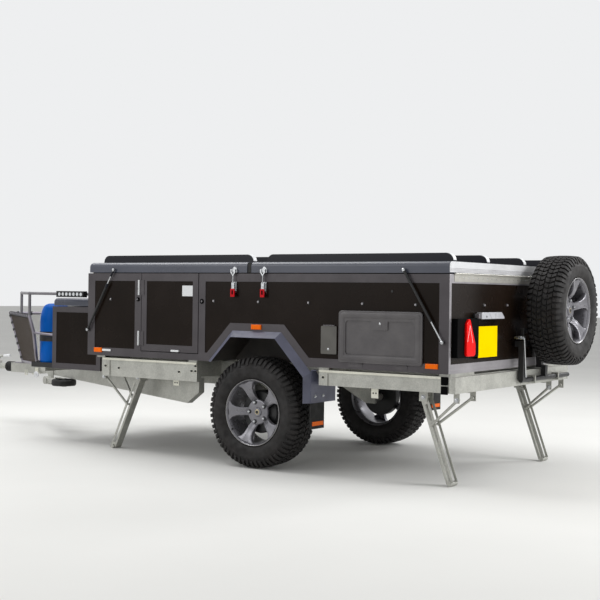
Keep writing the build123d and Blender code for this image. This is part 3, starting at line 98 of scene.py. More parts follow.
class Finish:
    """A procedural material that is built up in steps."""

    def __init__(self, name, rough, metal=0.0, **sockets):
        self.material = bpy.data.materials.new(name)
        self.material.use_nodes = True
        self.tree = self.material.node_tree
        self.shader = self.tree.nodes["Principled BSDF"]
        self.shader.inputs["Roughness"].default_value = rough
        self.shader.inputs["Metallic"].default_value = metal
        for socket, value in sockets.items():
            self.shader.inputs[socket.replace("_", " ")].default_value = value
        self.place = self.add("ShaderNodeTexCoord").outputs["Object"]
        self.height = None

    def add(self, kind, **values):
        """New node with its settings."""
        made = self.tree.nodes.new(kind)
        for key, value in values.items():
            setattr(made, key, value)
        return made

    def link(self, a, b):
        """Join an output to an input."""
        self.tree.links.new(a, b)

    def noise(self, scale, detail=3.0, stretch=(1, 1, 1)):
        """Noise from 0 to 1 at a scale per metre."""
        mapping = self.add("ShaderNodeMapping")
        mapping.inputs["Scale"].default_value = stretch
        texture = self.add("ShaderNodeTexNoise")
        texture.inputs["Scale"].default_value = scale
        texture.inputs["Detail"].default_value = detail
        self.link(self.place, mapping.inputs["Vector"])
        self.link(mapping.outputs["Vector"], texture.inputs["Vector"])
        return texture.outputs["Fac"]

    def cells(self, scale):
        """Random shade for each crystal-like cell."""
        texture = self.add("ShaderNodeTexVoronoi")
        texture.inputs["Scale"].default_value = scale
        self.link(self.place, texture.inputs["Vector"])
        grey = self.add("ShaderNodeRGBToBW")
        self.link(texture.outputs["Color"], grey.inputs["Color"])
        return grey.outputs["Val"]

    def mixed(self, first, second, share):
        """Two shades blended, the second by a share."""
        mix = self.add("ShaderNodeMix", data_type="FLOAT")
        mix.inputs["Factor"].default_value = share
        self.link(first, mix.inputs[2])
        self.link(second, mix.inputs[3])
        return mix.outputs[0]

    def ramp(self, source, low, high):
        """Colour that goes from low to high with the source."""
        ramp = self.add("ShaderNodeValToRGB")
        ramp.color_ramp.elements[0].position = NOISE_LOW
        ramp.color_ramp.elements[0].color = low
        ramp.color_ramp.elements[1].position = NOISE_HIGH
        ramp.color_ramp.elements[1].color = high
        self.link(source, ramp.inputs["Fac"])
        return ramp.outputs["Color"]

    def colour(self, low, high, source):
        """Base colour that varies between two tones."""
        self.link(self.ramp(source, low, high), self.shader.inputs["Base Color"])
        return self

    def rough(self, low, high, source):
        """Roughness that varies between two levels."""
        spread = self.add("ShaderNodeMapRange")
        spread.inputs["From Min"].default_value = NOISE_LOW
        spread.inputs["From Max"].default_value = NOISE_HIGH
        spread.inputs["To Min"].default_value = low
        spread.inputs["To Max"].default_value = high
        self.link(source, spread.inputs["Value"])
        self.link(spread.outputs["Result"], self.shader.inputs["Roughness"])
        return self

    def bump(self, source, depth, strength=1.0):
        """Relief of a depth in metres on top of what is there."""
        bump = self.add("ShaderNodeBump")
        bump.inputs["Strength"].default_value = strength
        bump.inputs["Distance"].default_value = depth
        self.link(source, bump.inputs["Height"])
        if self.height:
            self.link(self.height, bump.inputs["Normal"])
        self.height = bump.outputs["Normal"]
        self.link(self.height, self.shader.inputs["Normal"])
        return self


def galvanised(name, low, high):
    """Hot-dip zinc: dull crystals, stains and a slightly rough skin."""
    made = Finish(name, 0.45, 0.55)
    made.colour(low, high, made.mixed(made.cells(160), made.noise(9, 5), 0.7))
    made.rough(0.38, 0.55, made.noise(14, 5))
    return made.bump(made.noise(220), 0.0003, 0.3).material


def powder(name, low, high, rough=0.42, metal=0.35):
    """Powder coat with a fine grain."""
    made = Finish(name, rough, metal)
    made.colour(low, high, made.noise(6, 5))
    made.rough(rough - 0.06, rough + 0.08, made.noise(25, 4))
    return made.bump(made.noise(900), 0.0003, 0.25).material


def gloss(name, low, high, rough, level, wave):
    """Smooth painted or moulded sheet with a slow wave in it and a little dust."""
    made = Finish(name, rough, Specular_IOR_Level=level)
    made.colour(low, high, made.noise(2.5, 6))
    made.rough(rough - 0.02, rough + 0.05, made.noise(5, 8))
    return made.bump(made.noise(3.5, 1), wave, 0.3).material


def plastic(name, low, high, rough=0.5, grain=600):
    """Moulded plastic with a fine leather grain."""
    made = Finish(name, rough)
    made.colour(low, high, made.noise(9, 4))
    made.rough(rough - 0.08, rough + 0.1, made.noise(30, 4))
    return made.bump(made.noise(grain, 2), 0.0004, 0.3).material


def bright(name, low, high, rough=0.22):
    """Bright steel with light brushing."""
    made = Finish(name, rough, 1.0)
    made.colour(low, high, made.noise(40, 3, (1, 1, 8)))
    made.rough(rough - 0.05, rough + 0.12, made.noise(120, 3, (1, 1, 10)))
    return made.material


def lens(name, low, high, ribs=400):
    """Coloured lamp plastic with fine vertical flutes behind a smooth skin."""
    made = Finish(name, 0.35, Coat_Weight=0.1, Coat_Roughness=0.08, Specular_IOR_Level=0.1)
    made.colour(low, high, made.noise(ribs, 1, (1, 1, 0.02)))
    return made.bump(made.noise(ribs, 1, (1, 1, 0.02)), 0.0006, 0.3).material


def rubber(name, low, high):
    """Tyre rubber: dusty in the hollows, with a fine grain."""
    made = Finish(name, 0.75)
    made.colour(low, high, made.noise(12, 6))
    made.rough(0.62, 0.88, made.noise(20, 5))
    return made.bump(made.noise(350, 3), 0.0006, 0.35).material


def board(name, low, high):
    """Resin-faced ply: a fine hexagon-like grip pattern."""
    made = Finish(name, 0.6)
    made.colour(low, high, made.noise(8, 5))
    return made.bump(made.cells(300), 0.0004, 0.3).material


# Distance from the middle plane at which the hinges' finish changes, in metres
HINGE_SPLIT = 0.91


def hinge_steel():
    """Bright steel between the sides, and grey paint on the hinges outside them."""
    made = Finish("hinge_steel", 0.38, 0.6)
    split = made.add("ShaderNodeSeparateXYZ")
    made.link(made.place, split.inputs["Vector"])
    size = made.add("ShaderNodeMath", operation="ABSOLUTE")
    made.link(split.outputs["Y"], size.inputs[0])
    outer = made.add("ShaderNodeMath", operation="GREATER_THAN")
    outer.inputs[1].default_value = HINGE_SPLIT
    made.link(size.outputs[0], outer.inputs[0])
    mix = made.add("ShaderNodeMix", data_type="RGBA")
    made.link(outer.outputs[0], mix.inputs["Factor"])
    made.link(made.ramp(made.noise(30), tone(182, 180, 172), tone(192, 190, 182)), mix.inputs[6])
    made.link(made.ramp(made.noise(12), tone(74, 71, 73), tone(88, 85, 87)), mix.inputs[7])
    made.link(mix.outputs[2], made.shader.inputs["Base Color"])
    return made.bump(made.noise(500), 0.0002, 0.25).material


# Kind of each finish, its two tones, and what else the kind takes
LOOKS = {
    "zinc": (galvanised, (158, 158, 152), (190, 190, 183)),
    "boot_rubber": (rubber, (16, 16, 16), (32, 32, 31)),
    "floor_board": (board, (30, 26, 24), (52, 46, 41)),
    "frame_grey": (powder, (66, 62, 65), (76, 72, 75)),
    "panel_black": (gloss, (23, 16, 11), (29, 21, 16), 0.25, 0.12, 0.001),
    "black_plastic": (plastic, (15, 15, 16), (25, 25, 26)),
    "marker_orange": (lens, (246, 98, 0), (255, 122, 2)),
    "lens_red": (lens, (222, 0, 0), (250, 2, 4)),
    "plate_yellow": (gloss, (244, 204, 0), (250, 216, 2), 0.5, 0.0, 0.0),
    "trim_silver": (powder, (206, 207, 209), (224, 225, 227), 0.35, 0.2),
    "latch_steel": (bright, (170, 172, 174), (204, 206, 208)),
    "door_panel": (powder, (66, 62, 65), (76, 72, 75)),
    "lid_grey": (gloss, (66, 69, 80), (76, 79, 91), 0.28, 0.5, 0.001),
    "rail_black": (gloss, (20, 21, 29), (28, 29, 38), 0.3, 0.25, 0.0),
    "rail_grey": (powder, (104, 102, 106), (126, 124, 128)),
    "black_metal": (powder, (18, 18, 19), (30, 30, 31), 0.45, 0.1),
    "chrome_rod": (bright, (186, 188, 190), (214, 216, 218), 0.16),
    "mesh_bronze": (bright, (54, 47, 42), (84, 74, 66), 0.5),
    "bottle_blue": (gloss, (0, 82, 168), (0, 98, 192), 0.4, 0.08, 0.001),
    "tyre": (rubber, (11, 9, 9), (26, 22, 21)),
    "alloy_dark": (powder, (118, 117, 122), (136, 135, 140), 0.3, 0.6),
    # Finishes of small pieces
    # Wheel flares' black plastic drawn light bluish grey: a painted reflection of the sky
    "flare_plastic": (plastic, (82, 84, 101), (98, 100, 119), 0.42, 500),
    "hatch_grey": (plastic, (76, 73, 75), (90, 87, 88), 0.48, 500),
    "flap_grey": (plastic, (80, 78, 74), (92, 90, 85), 0.48, 500),
    # Pale grey of the turn buttons, also a lit copy of the frame's grey: painted light on the rear faces of
    # the frame and the rear lid
    "frame_pale": (powder, (150, 147, 151), (172, 169, 173), 0.35, 0.5),
    # Pale zinc of small fittings, also a lit copy of the zinc: painted light on the rails' lips
    "zinc_bright": (galvanised, (204, 203, 190), (224, 223, 210)),
    "lip_grey": (powder, (150, 148, 144), (170, 168, 164), 0.3, 0.6),
    "guard_grey": (powder, (112, 108, 117), (136, 131, 141), 0.35, 0.4),
    "grip_red": (gloss, (178, 8, 18), (206, 14, 30), 0.4, 0.15, 0.0),
    # White of labels and small fittings, also painted highlights on the tail lamps and the rails' ends
    "label_white": (gloss, (222, 224, 226), (234, 236, 238), 0.35, 0.5, 0.0),
    "lamp_glass": (lens, (206, 210, 214), (234, 238, 240), 900),
    "brass": (bright, (150, 140, 116), (182, 172, 146), 0.3),
    "deep_black": (gloss, (3, 3, 4), (9, 9, 10), 0.55, 0.03, 0.0),
    "lamp_white": (powder, (176, 177, 182), (192, 193, 198), 0.3, 0.1),
}
finishes = {name: kind(name, tone(*low), tone(*high), *rest)
            for name, (kind, low, high, *rest) in LOOKS.items()}
finishes["hinge_steel"] = hinge_steel()
# Nodes with a finish of their own in place of their slot's
own_finish = {"wheel_flares": "flare_plastic", "side_hatch": "hatch_grey", "hookup_flap": "flap_grey",
              "hinges_and_pins": "hinge_steel", "stone_guard": "guard_grey",
              "rear_lamp_housings": "deep_black"}

for name, obj in nodes.items():
    obj.data.materials.clear()
    obj.data.materials.append(finishes[own_finish.get(name, slot_of[name])])


class Shape:
    """Solid pieces gathered in one mesh."""

    def __init__(self):
        self.mesh = bmesh.new()
        self.skins = []

    def skin(self, slot):
        """Index of a finish in this mesh."""
        if slot not in self.skins:
            self.skins.append(slot)
        return self.skins.index(slot)

    def hull(self, rings, slot, caps=True):
        """Skin over rings of as many points each, joined in order."""
        made = [[self.mesh.verts.new(p) for p in ring] for ring in rings]
        index = self.skin(slot)
        count = len(made[0])
        faces = []
        for a, b in zip(made, made[1:]):
            for i in range(count):
                j = (i + 1) % count
                faces.append(self.mesh.faces.new((a[i], a[j], b[j], b[i])))
        if caps:
            faces.append(self.mesh.faces.new(list(reversed(made[0]))))
            faces.append(self.mesh.faces.new(made[-1]))
        for face in faces:
            face.material_index = index

    def loop(self, rings, slot):
        """Skin over rings of which the last joins the first, in a mesh that is empty so far."""
        self.hull(rings + rings[:1], slot, caps=False)
        bmesh.ops.remove_doubles(self.mesh, verts=self.mesh.verts, dist=0.00001)

    def block(self, low, high, slot):
        """Box between two corners."""
        x0, y0, z0 = (min(a, b) for a, b in zip(low, high))
        x1, y1, z1 = (max(a, b) for a, b in zip(low, high))
        ring = [(x0, y0), (x1, y0), (x1, y1), (x0, y1)]
        self.hull([[(x, y, z) for x, y in ring] for z in (z0, z1)], slot)

    def turned(self, start, way, outline, slot, sides):
        """Body of revolution with flat ends; its outline is (distance along way, radius)."""
        way = Vector(way).normalized()
        across = way.orthogonal().normalized()
        other = way.cross(across)
        rings = []
        for along, radius in outline:
            ring = []
            for i in range(sides):
                turn = 2 * pi * i / sides
                ring.append(Vector(start) + way * along + (across * cos(turn) + other * sin(turn)) * radius)
            rings.append(ring)
        self.hull(rings, slot)

    def rod(self, start, end, radius, slot, sides):
        """Round bar from point to point."""
        way = Vector(end) - Vector(start)
        self.turned(start, way, [(0, radius), (way.length, radius)], slot, sides)

    def finish(self, name, body, bevel=0.0, smooth=True):
        """Make the object, bevel its edges and let it ride on a body."""
        bmesh.ops.recalc_face_normals(self.mesh, faces=self.mesh.faces)
        data = bpy.data.meshes.new(name)
        self.mesh.to_mesh(data)
        self.mesh.free()
        for slot in self.skins:
            data.materials.append(finishes[slot])
        obj = bpy.data.objects.new(name, data)
        bpy.context.scene.collection.objects.link(obj)
        if bevel:
            add_bevel(obj, bevel)
        if smooth:
            data.shade_smooth()
            smooth_by_angle(data)
        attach(obj, body)
        return obj


# Edges over this angle stay sharp, or are bevelled
SHARP = radians(35)


def smooth_by_angle(data):
    """Keep edges over the angle sharp."""
    mesh = bmesh.new()
    mesh.from_mesh(data)
    for edge in mesh.edges:
        edge.smooth = len(edge.link_faces) == 2 and edge.calc_face_angle(0) < SHARP
    mesh.to_mesh(data)
    mesh.free()


def add_bevel(obj, width):
    """Round the sharp edges a little."""
    bevel = obj.modifiers.new("edges", "BEVEL")
    bevel.width = width
    bevel.segments = 2
    bevel.limit_method = "ANGLE"
    bevel.angle_limit = SHARP
    bevel.harden_normals = False


# Tyres: carcass outline and lug rows, half section, mm from the wheel's middle plane and axis
CARCASS = ((0, 376), (60, 374), (94, 369), (107, 360), (118, 345), (127, 324), (131, 318), (132, 308),
           (131, 296), (132, 290), (127, 262), (114, 240), (106, 232.5), (102, 231.5), (102, 217))
LUG_COUNT = 60
# Rows of lugs: near and far edge, slant and offset as shares of the pitch, width as a share
LUG_ROWS = ((4, 34, 0.34, 0.0, 0.70), (39, 70, -0.34, 0.35, 0.68), (75, 104, 0.16, 0.75, 0.64))
# Radius of the lugs' tips in the middle and at the tread's edge, that edge's distance out, and the start
# of the side lugs as a share of the pitch
LUG_TOP = 387.0
LUG_SHOULDER = 381.0
TREAD_HALF = 104
SHOULDER_OFFSET = 0.75
# Angles round a wheel at which its rings have points
TURNS = [2 * pi * i / 96 for i in range(96)]


def tread_top(t):
    """Radius of the lugs' tips at a distance from the middle plane, in mm."""
    return LUG_TOP - (LUG_TOP - LUG_SHOULDER) * (t / TREAD_HALF) ** 2


def carcass_radius(t):
    """Radius of the tread's floor at a distance from the middle plane, in mm."""
    for (t0, r0), (t1, r1) in zip(CARCASS, CARCASS[1:]):
        if t0 <= t <= t1:
            return r0 + (r1 - r0) * (t - t0) / (t1 - t0)
    return CARCASS[2][1]


def about(node, outward, first):
    """Function that gives a place from its distance out, radius and turn about a wheel's axis."""
    centre, way, first = middle(node), Vector(outward), Vector(first)
    other = way.cross(first)

    def place(along, radius=0.0, turn=0.0):
        around = first * cos(turn) + other * sin(turn)
        return centre + way * (along / 1000) + around * (radius / 1000)

    return place


def tyre(name, node, body, outward):
    """All-terrain tyre with its lugs, in place of the plain one."""
    point = about(node, outward, Vector(outward).orthogonal().normalized())
    shape = Shape()
    outline = list(reversed(CARCASS)) + [(-t, r) for t, r in CARCASS[1:]]
    shape.loop([[point(t, r, turn) for turn in TURNS] for t, r in outline], "tyre")
    pitch = 2 * pi / LUG_COUNT
    for side in BOTH:
        first = 0.5 if side > 0 else 0
        for i in range(LUG_COUNT):
            for near, far, slant, offset, share in LUG_ROWS:
                start = (i + offset + first) * pitch
                lug(shape, point, side, start, near, far, slant * pitch, share * pitch)
            shoulder(shape, point, side, (i + SHOULDER_OFFSET + first) * pitch, pitch, i % 2)
    made = shape.finish(name, body)
    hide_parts(node)


def lug(shape, point, side, start, near, far, slant, width):
    """One tread block: a six-sided prism that narrows a little towards its tip."""
    mid = (near + far) / 2
    plan = [(near, 0), (mid, slant * 0.8), (far, slant),
            (far, slant + width * 0.9), (mid, slant * 0.8 + width), (near, width)]
    rings = []
    for depth, shrink in ((-2.0, 0.0), (None, 0.045)):
        ring = []
        for t, turn in plan:
            inward = (mid - t) * shrink
            radius = carcass_radius(t) + depth if depth is not None else tread_top(t)
            pull = (slant / 2 + width / 2 - turn) * shrink
            ring.append(point(side * (t + inward), radius, start + turn + pull))
        rings.append(ring)
    shape.hull(rings, "tyre")


def shoulder(shape, point, side, start, pitch, long_one):
    """Side lug that runs from the shoulder down the side wall."""
    foot = 330 if long_one else 345
    rings = []
    for t, radius in ((100, 381), (112, 372), (122, 356), (129.5, foot)):
        drop = (380 - radius) / 50
        half = pitch * (0.30 - 0.06 * drop)
        centre = start + pitch * 0.42
        inner_t, inner_r = t - 8, radius - 10
        rings.append([point(side * inner_t, inner_r, centre - half), point(side * t, radius, centre - half),
                      point(side * t, radius, centre + half), point(side * inner_t, inner_r, centre + half)])
    shape.hull(rings, "tyre")


tyre("tyre_left_tread", "tyre_left", "wheel_left", (0, -1, 0))
tyre("tyre_right_tread", "tyre_right", "wheel_right", (0, 1, 0))
tyre("spare_tyre_tread", "spare_tyre", "carrier", (1, 0, 0))


# Edges of the plain sheet and bar pieces, mm
EDGES = {"side_frame_left": 1.5, "side_frame_right": 1.5, "door": 1.2, "chassis_frame": 1.5,
         "drawbar": 2.0, "nose_box": 1.5, "spare_carrier": 2.0, "coupling_head": 1.5,
         "number_plate": 0.5, "light_bar": 1.2, "side_hatch": 1.5, "lid_latches": 1.0}
for name, width in EDGES.items():
    add_bevel(nodes[name], width / 1000)


# Small fittings. Places are the grid's, in mm; way is the direction a fitting faces.


def beside(side, near, far):
    """Two y at distances outwards from a side."""
    return side * (SIDE + near), side * (SIDE + far)


def box_at(shape, xs, ys, zs, slot):
    """Block between two x, two y and two z of the grid."""
    shape.block(at(xs[0], ys[0], zs[0]), at(xs[1], ys[1], zs[1]), slot)


def blocks(name, body, sizes, slot, bevel=0.0):
    """Piece of blocks, each given by two x, two y and two z."""
    shape = Shape()
    for xs, ys, zs in sizes:
        box_at(shape, xs, ys, zs, slot)
    shape.finish(name, body, bevel)


def mirrored(sizes):
    """Blocks of the right side, for both sides."""
    return [(xs, (side * y0, side * y1), zs) for side in BOTH for xs, (y0, y1), zs in sizes]


def disc(shape, place, way, outline, slot, sides=24):
    """Turned fitting; its outline is (distance along way, radius) in mm."""
    shape.turned(place, way, [(along / 1000, radius / 1000) for along, radius in outline], slot, sides)


def bar(shape, start, end, radius, slot, sides=16):
    """Round bar between two places of the grid."""
    shape.rod(at(*start), at(*end), radius / 1000, slot, sides)


def plate(shape, outline, y0, y1, slot):
    """Plate with an outline of (x, z), between two y."""
    shape.hull([[at(x, y, z) for x, z in outline] for y in (y0, y1)], slot)


# Turn buttons round the body, and the x and z of the plug over the hatch
STUD_Z = 1158
STUD_X = (-2867, -1870, -1475, -1056, -632, -237)
REAR_STUD_Y = (-442, -85, 442)
SIDE_PLUG = (-411, 1241)
# Black ring round each button: a painted shadow that the button casts on the panel
STUD_SHADOW_RING = ((0, 11), (1.5, 11), (2.5, 9.5), (2.5, 4))
STUD_HEAD = ((0, 4), (7, 4), (7, 7), (10, 7), (11, 5.5), (11, 3), (9.5, 2.5))


def studs():
    """Turn buttons round the body, and a plug on each side."""
    shape = Shape()
    for x in STUD_X:
        for side in BOTH:
            stud(shape, at(x, side * PANEL, STUD_Z), (0, side, 0))
    for y in REAR_STUD_Y:
        stud(shape, at(REAR_PANEL, y, STUD_Z), (1, 0, 0))
    shape.finish("turn_buttons", "trailer")
    shape = Shape()
    for side in BOTH:
        place = at(SIDE_PLUG[0], side * PANEL, SIDE_PLUG[1])
        disc(shape, place, (0, side, 0), ((0, 8), (3, 8), (4, 5)), "black_plastic", 20)
    shape.finish("side_plugs", "trailer")


def stud(shape, place, way):
    """Turn button on a black ring, a painted shadow that the button casts on the panel."""
    disc(shape, place, way, STUD_HEAD, "frame_pale", 20)
    disc(shape, place, way, STUD_SHADOW_RING, "black_plastic", 20)


# Side door: x, y and z of its sunk panel, label and pull; x and z of the knob and lock on the posts
DOOR_PANEL = ((-2503.8, -2063.2), (-PANEL - 0.6, -PANEL + 0.2), (829.2, 1296.8))
DOOR_LABEL = ((-2164, -2066), (-PANEL - 1.2, -PANEL - 0.4), (1189, 1266))
DOOR_PULL = ((-2255, -2183), (-SIDE - 15, -SIDE + 0.1), (782, 796))
DOOR_KNOB = (-2588, 1160)
DOOR_LOCK = (-1978, 1154)
# Hinge axis as x and y, and the two barrels' z
DOOR_HINGE = (-2578, -SIDE - 6)
DOOR_BARRELS = ((819, 924), (1192, 1304))


def door_fittings():
    """Black panel, pull and blank label on the door, and the knob, lock and hinge pins on its posts."""
    blocks("door_inner_panel", "door", [DOOR_PANEL], "panel_black")
    shape = Shape()
    for z0, z1 in DOOR_BARRELS:
        length = z1 - z0 + 2
        outline = ((0, 5), (1, 7), (length - 1, 7), (length, 5))
        disc(shape, at(*DOOR_HINGE, z0 - 1), (0, 0, 1), outline, "label_white", 20)
    shape.finish("door_hinge_pins", "trailer")
    blocks("door_pull", "door", [DOOR_PULL], "label_white", 0.002)
    blocks("door_label", "door", [DOOR_LABEL], "label_white")
    fittings = ((DOOR_KNOB, ((0, 15), (6, 15), (9, 11), (13, 10)), 13, ((0, 7), (1.5, 6))),
                (DOOR_LOCK, ((0, 18), (3, 18), (5, 14), (5, 9)), 4.5, ((0, 8), (1, 7))))
    shape = Shape()
    for (x, z), ring, reach, cap in fittings:
        disc(shape, at(x, -SIDE, z), (0, -1, 0), ring, "deep_black")
        disc(shape, at(x, -SIDE - reach, z), (0, -1, 0), cap, "rail_grey")
    shape.finish("door_knob_and_lock", "trailer")


# Locks: body, x, distance out from the side, z
LOCKS = (("hatch", -490, 12.3, 1031), ("flap", -888, 8.3, 853))


def locks():
    """Round locks of the hatch and the small flap."""
    outline = ((0, 8), (2, 8), (3, 6.5), (3, 3), (2, 2.5))
    for body, x, out, z in LOCKS:
        shape = Shape()
        disc(shape, at(x, -SIDE - out, z), (0, -1, 0), outline, "latch_steel")
        shape.finish(f"{body}_lock", body)


# Reflectors of the right side, white and on the mud flap; x, both y and z of the bolts over the latter
WHITE_REFLECTOR = ((-2947, -2860), (SIDE, SIDE + 6), (762, 778))
FLAP_REFLECTOR = ((-1030, -1025), (918, 785), (327, 355))
FLAP_BOLTS = (-1026, (890, 793), 527)


def reflectors():
    """White strips behind the front markers and orange ones on the mud flaps, with the plate's bolts."""
    blocks("white_reflectors", "trailer", mirrored([WHITE_REFLECTOR]), "label_white", 0.0015)
    blocks("flap_reflectors", "trailer", mirrored([FLAP_REFLECTOR]), "marker_orange", 0.0015)
    shape = Shape()
    x, ys, z = FLAP_BOLTS
    for side in BOTH:
        for y in ys:
            bolt(shape, at(x, side * y, z), (1, 0, 0))
    shape.finish("flap_plate_bolts", "trailer")


def bolt(shape, place, way, size=8.0):
    """Hexagon head on a washer."""
    disc(shape, place, way, ((0, size * 1.35), (1.2, size * 1.35)), "latch_steel", 20)
    head = ((0, size), (size * 0.7, size), (size * 0.8, size * 0.8))
    disc(shape, place + Vector(way) * 0.0012, way, head, "latch_steel", 6)


# Latches: x of the two; half width, two distances out and two z of the grip, of the slot in it and of the
# keeper; and the crown plates' outline as (x from the latch, z)
LATCH_X = (-1684, -1426)
LATCH_GRIP = (17, (18, 27), (1190, 1247))
LATCH_SLOT = (7, (26, 27.4), (1207, 1236))
KEEPER = (6.8, (0, 14.8), (1363, 1379))
CROWN = ((-20, 1361), (20, 1361), (20, 1386), (9, 1400), (-9, 1400), (-20, 1386))


def latch_block(shape, x, side, sizes, slot):
    """Block in line with a latch, outside a side."""
    half, reach, zs = sizes
    box_at(shape, (x - half, x + half), beside(side, *reach), zs, slot)


def latch_parts():
    """Red grips on the latches, and the crown plates and keepers on the lids."""
    shape = Shape()
    for x in LATCH_X:
        for side in BOTH:
            latch_block(shape, x, side, LATCH_GRIP, "grip_red")
            latch_block(shape, x, side, LATCH_SLOT, "deep_black")
    shape.finish("latch_grips", "trailer", 0.003)
    for x, body in zip(LATCH_X, ("front_lid", "rear_lid")):
        shape = Shape()
        for side in BOTH:
            outline = [(x + dx, z) for dx, z in CROWN]
            plate(shape, outline, *beside(side, 0, 2.5), "latch_steel")
            latch_block(shape, x, side, KEEPER, "latch_steel")
            for dx in (-13, 13):
                place = at(x + dx, side * (SIDE + 2.5), 1386)
                disc(shape, place, (0, side, 0), ((0, 3.5), (1.5, 2.5)), "latch_steel", 12)
        shape.finish(f"{body}_keepers", body, 0.0008)


# Lids' hinges: their rivets and half length; rear lid's outline: its foot, and width, rise and start of
# the rounding of its long edges
RIVET_PITCH = 68
RIVET_Z = 1331
HINGE_HALF = 880
LID_FOOT = 1366
LID_ROUND = 28
LID_ROUND_RISE = 27.6
LID_ROUND_Z = 1406


def hinge_trim():
    """Pale strips and rivets along the lids' hinges, and the rear lid's rear face in pale silver, painted
    light on the grey lid.
    """
    strip = ((FRONT_FACE - 2.7, FRONT_FACE - 3.5), (-HINGE_HALF, HINGE_HALF), (LID_FOOT, 1393))
    blocks("front_hinge_strip", "front_lid", [strip], "frame_pale")
    shape = Shape()
    # Rear lid's rear face in pale silver with pale ribs: painted light where the sun falls on the grey lid
    edge = [(SIDE, LID_FOOT), (SIDE, LID_ROUND_Z)]
    for turn in (0.31, 0.63, 0.94, 1.26, 1.57):
        edge.append((SIDE - LID_ROUND + LID_ROUND * cos(turn), LID_ROUND_Z + LID_ROUND_RISE * sin(turn)))
    outline = edge + [(-y, z) for y, z in reversed(edge)]
    shape.hull([[at(x, y, z) for y, z in outline] for x in (0.1, 3.6)], "trim_silver")
    for z in (1373, 1381, 1389):
        box_at(shape, (3.6, 4.8), (-SIDE + 4, SIDE - 4), (z, z + 2.4), "frame_pale")
    shape.finish("rear_lid_painted_light_end", "rear_lid")
    shape = Shape()
    rivet = ((0, 4.5), (1.2, 4), (2, 1.5))
    for face, way in ((4, 1), (FRONT_FACE - 4, -1)):
        for i in range(-12, 13):
            disc(shape, at(face, i * RIVET_PITCH, RIVET_Z), (way, 0, 0), rivet, "latch_steel", 12)
    shape.finish("hinge_rivets", "trailer")


# Rear extrusions: z of the sill and of the top rail, width of the posts, z of the sill's ribs
SILL = (728, 788)
TOP_RAIL = (1297, 1354)
POST = 27
SILL_RIBS = (746, 770)


def rear_frame_painted_light():
    """Pale strips over the rear faces of the grey posts, sill and top rail: painted light where the sun falls
    on the rear of the frame.
    """
    shape = Shape()
    for side in BOTH:
        box_at(shape, (0, 1.2), beside(side, 0, -POST), (SILL[0], TOP_RAIL[1]), "frame_pale")
    for zs in (SILL, TOP_RAIL):
        box_at(shape, (0, 1.2), (POST - SIDE, SIDE - POST), zs, "frame_pale")
    for z in SILL_RIBS:
        box_at(shape, (1.2, 2.4), (-SIDE, SIDE), (z - 1.5, z + 1.5), "frame_pale")
    shape.finish("rear_frame_painted_light", "trailer", 0.0005)


# Painted highlights on the edges of the tail lamps' raised inner facets: y and z of their apex and feet, and
# their section as (x, y from the line)
HIGHLIGHT_APEX = (756, 1034)
HIGHLIGHT_FEET = ((788, 928), (714, 920))
HIGHLIGHT_SECTION = ((54.4, -1.7), (54.4, 1.7), (55.3, 1.7), (55.3, -1.7))
# Plate lamp: outline as (y, z), and its two x
PLATE_LAMP = ((-591, 1070), (-249, 1070), (-249, 1082), (-290, 1113), (-591, 1113))
PLATE_LAMP_X = (20, 57)


def tail_lamp_parts():
    """White lines of painted highlight on the red lenses' facet edges, and the lamp over the number plate."""
    shape = Shape()
    for side in BOTH:
        for foot in HIGHLIGHT_FEET:
            rings = [[at(x, side * (y + dy), z) for x, dy in HIGHLIGHT_SECTION] for y, z in (HIGHLIGHT_APEX, foot)]
            shape.hull(rings, "label_white")
    shape.finish("tail_lamp_painted_highlights", "trailer")
    shape = Shape()
    shape.hull([[at(x, y, z) for y, z in PLATE_LAMP] for x in PLATE_LAMP_X], "lamp_white")
    box_at(shape, (20, 50), (-621, -591), (1076, 1104), "rail_grey")
    box_at(shape, (-2.8, 20), (-600, -300), (1078, 1106), "black_plastic")
    disc(shape, at(57, -520, 1086), (1, 0, 0), ((0, 7), (1.5, 6)), "black_plastic", 16)
    made = shape.finish("number_plate_lamp", "trailer", 0.0025)
    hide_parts("plate_lamp")


# Rails under the sides. Bolts: x, z and the y of the face they sit on; brackets: two x and two z; lips,
# in painted light, and black blocks of painted shade in the gaps at the rear ends: blocks of the right side
RAIL_BOLTS = ((-2808, 637, 903), (-2213, 635, 903), (-2088, 648, 910), (-2052, 648, 910),
              (-2052, 684, 910), (-2940, 648, 910), (-950, 660, 910))
LIP_BLOCKS = (((-2968, -2042), (910, 917), (694, 711)), ((-983, -64), (910, 917), (694, 711)))
GAP_SHADE_BLOCKS = (((-62, -16), (909, 922), (598, 650)), ((-62, -16), (909, 922), (657, 709)))
BRACKETS = ((-2298, -2246, 530, 571), (-600, -548, 540, 606))
BRACKET_FACE = 867
# Corner legs: pivot x and the x of the ears that hold the brace, and how far from a leg's middle the
# bolts of each sit
LEGS = ((-2730, -3008), (-260, 18))
PIVOT_Z = 562
LEG_Y = 740
PIVOT_REACH = 41
EAR_REACH = 119


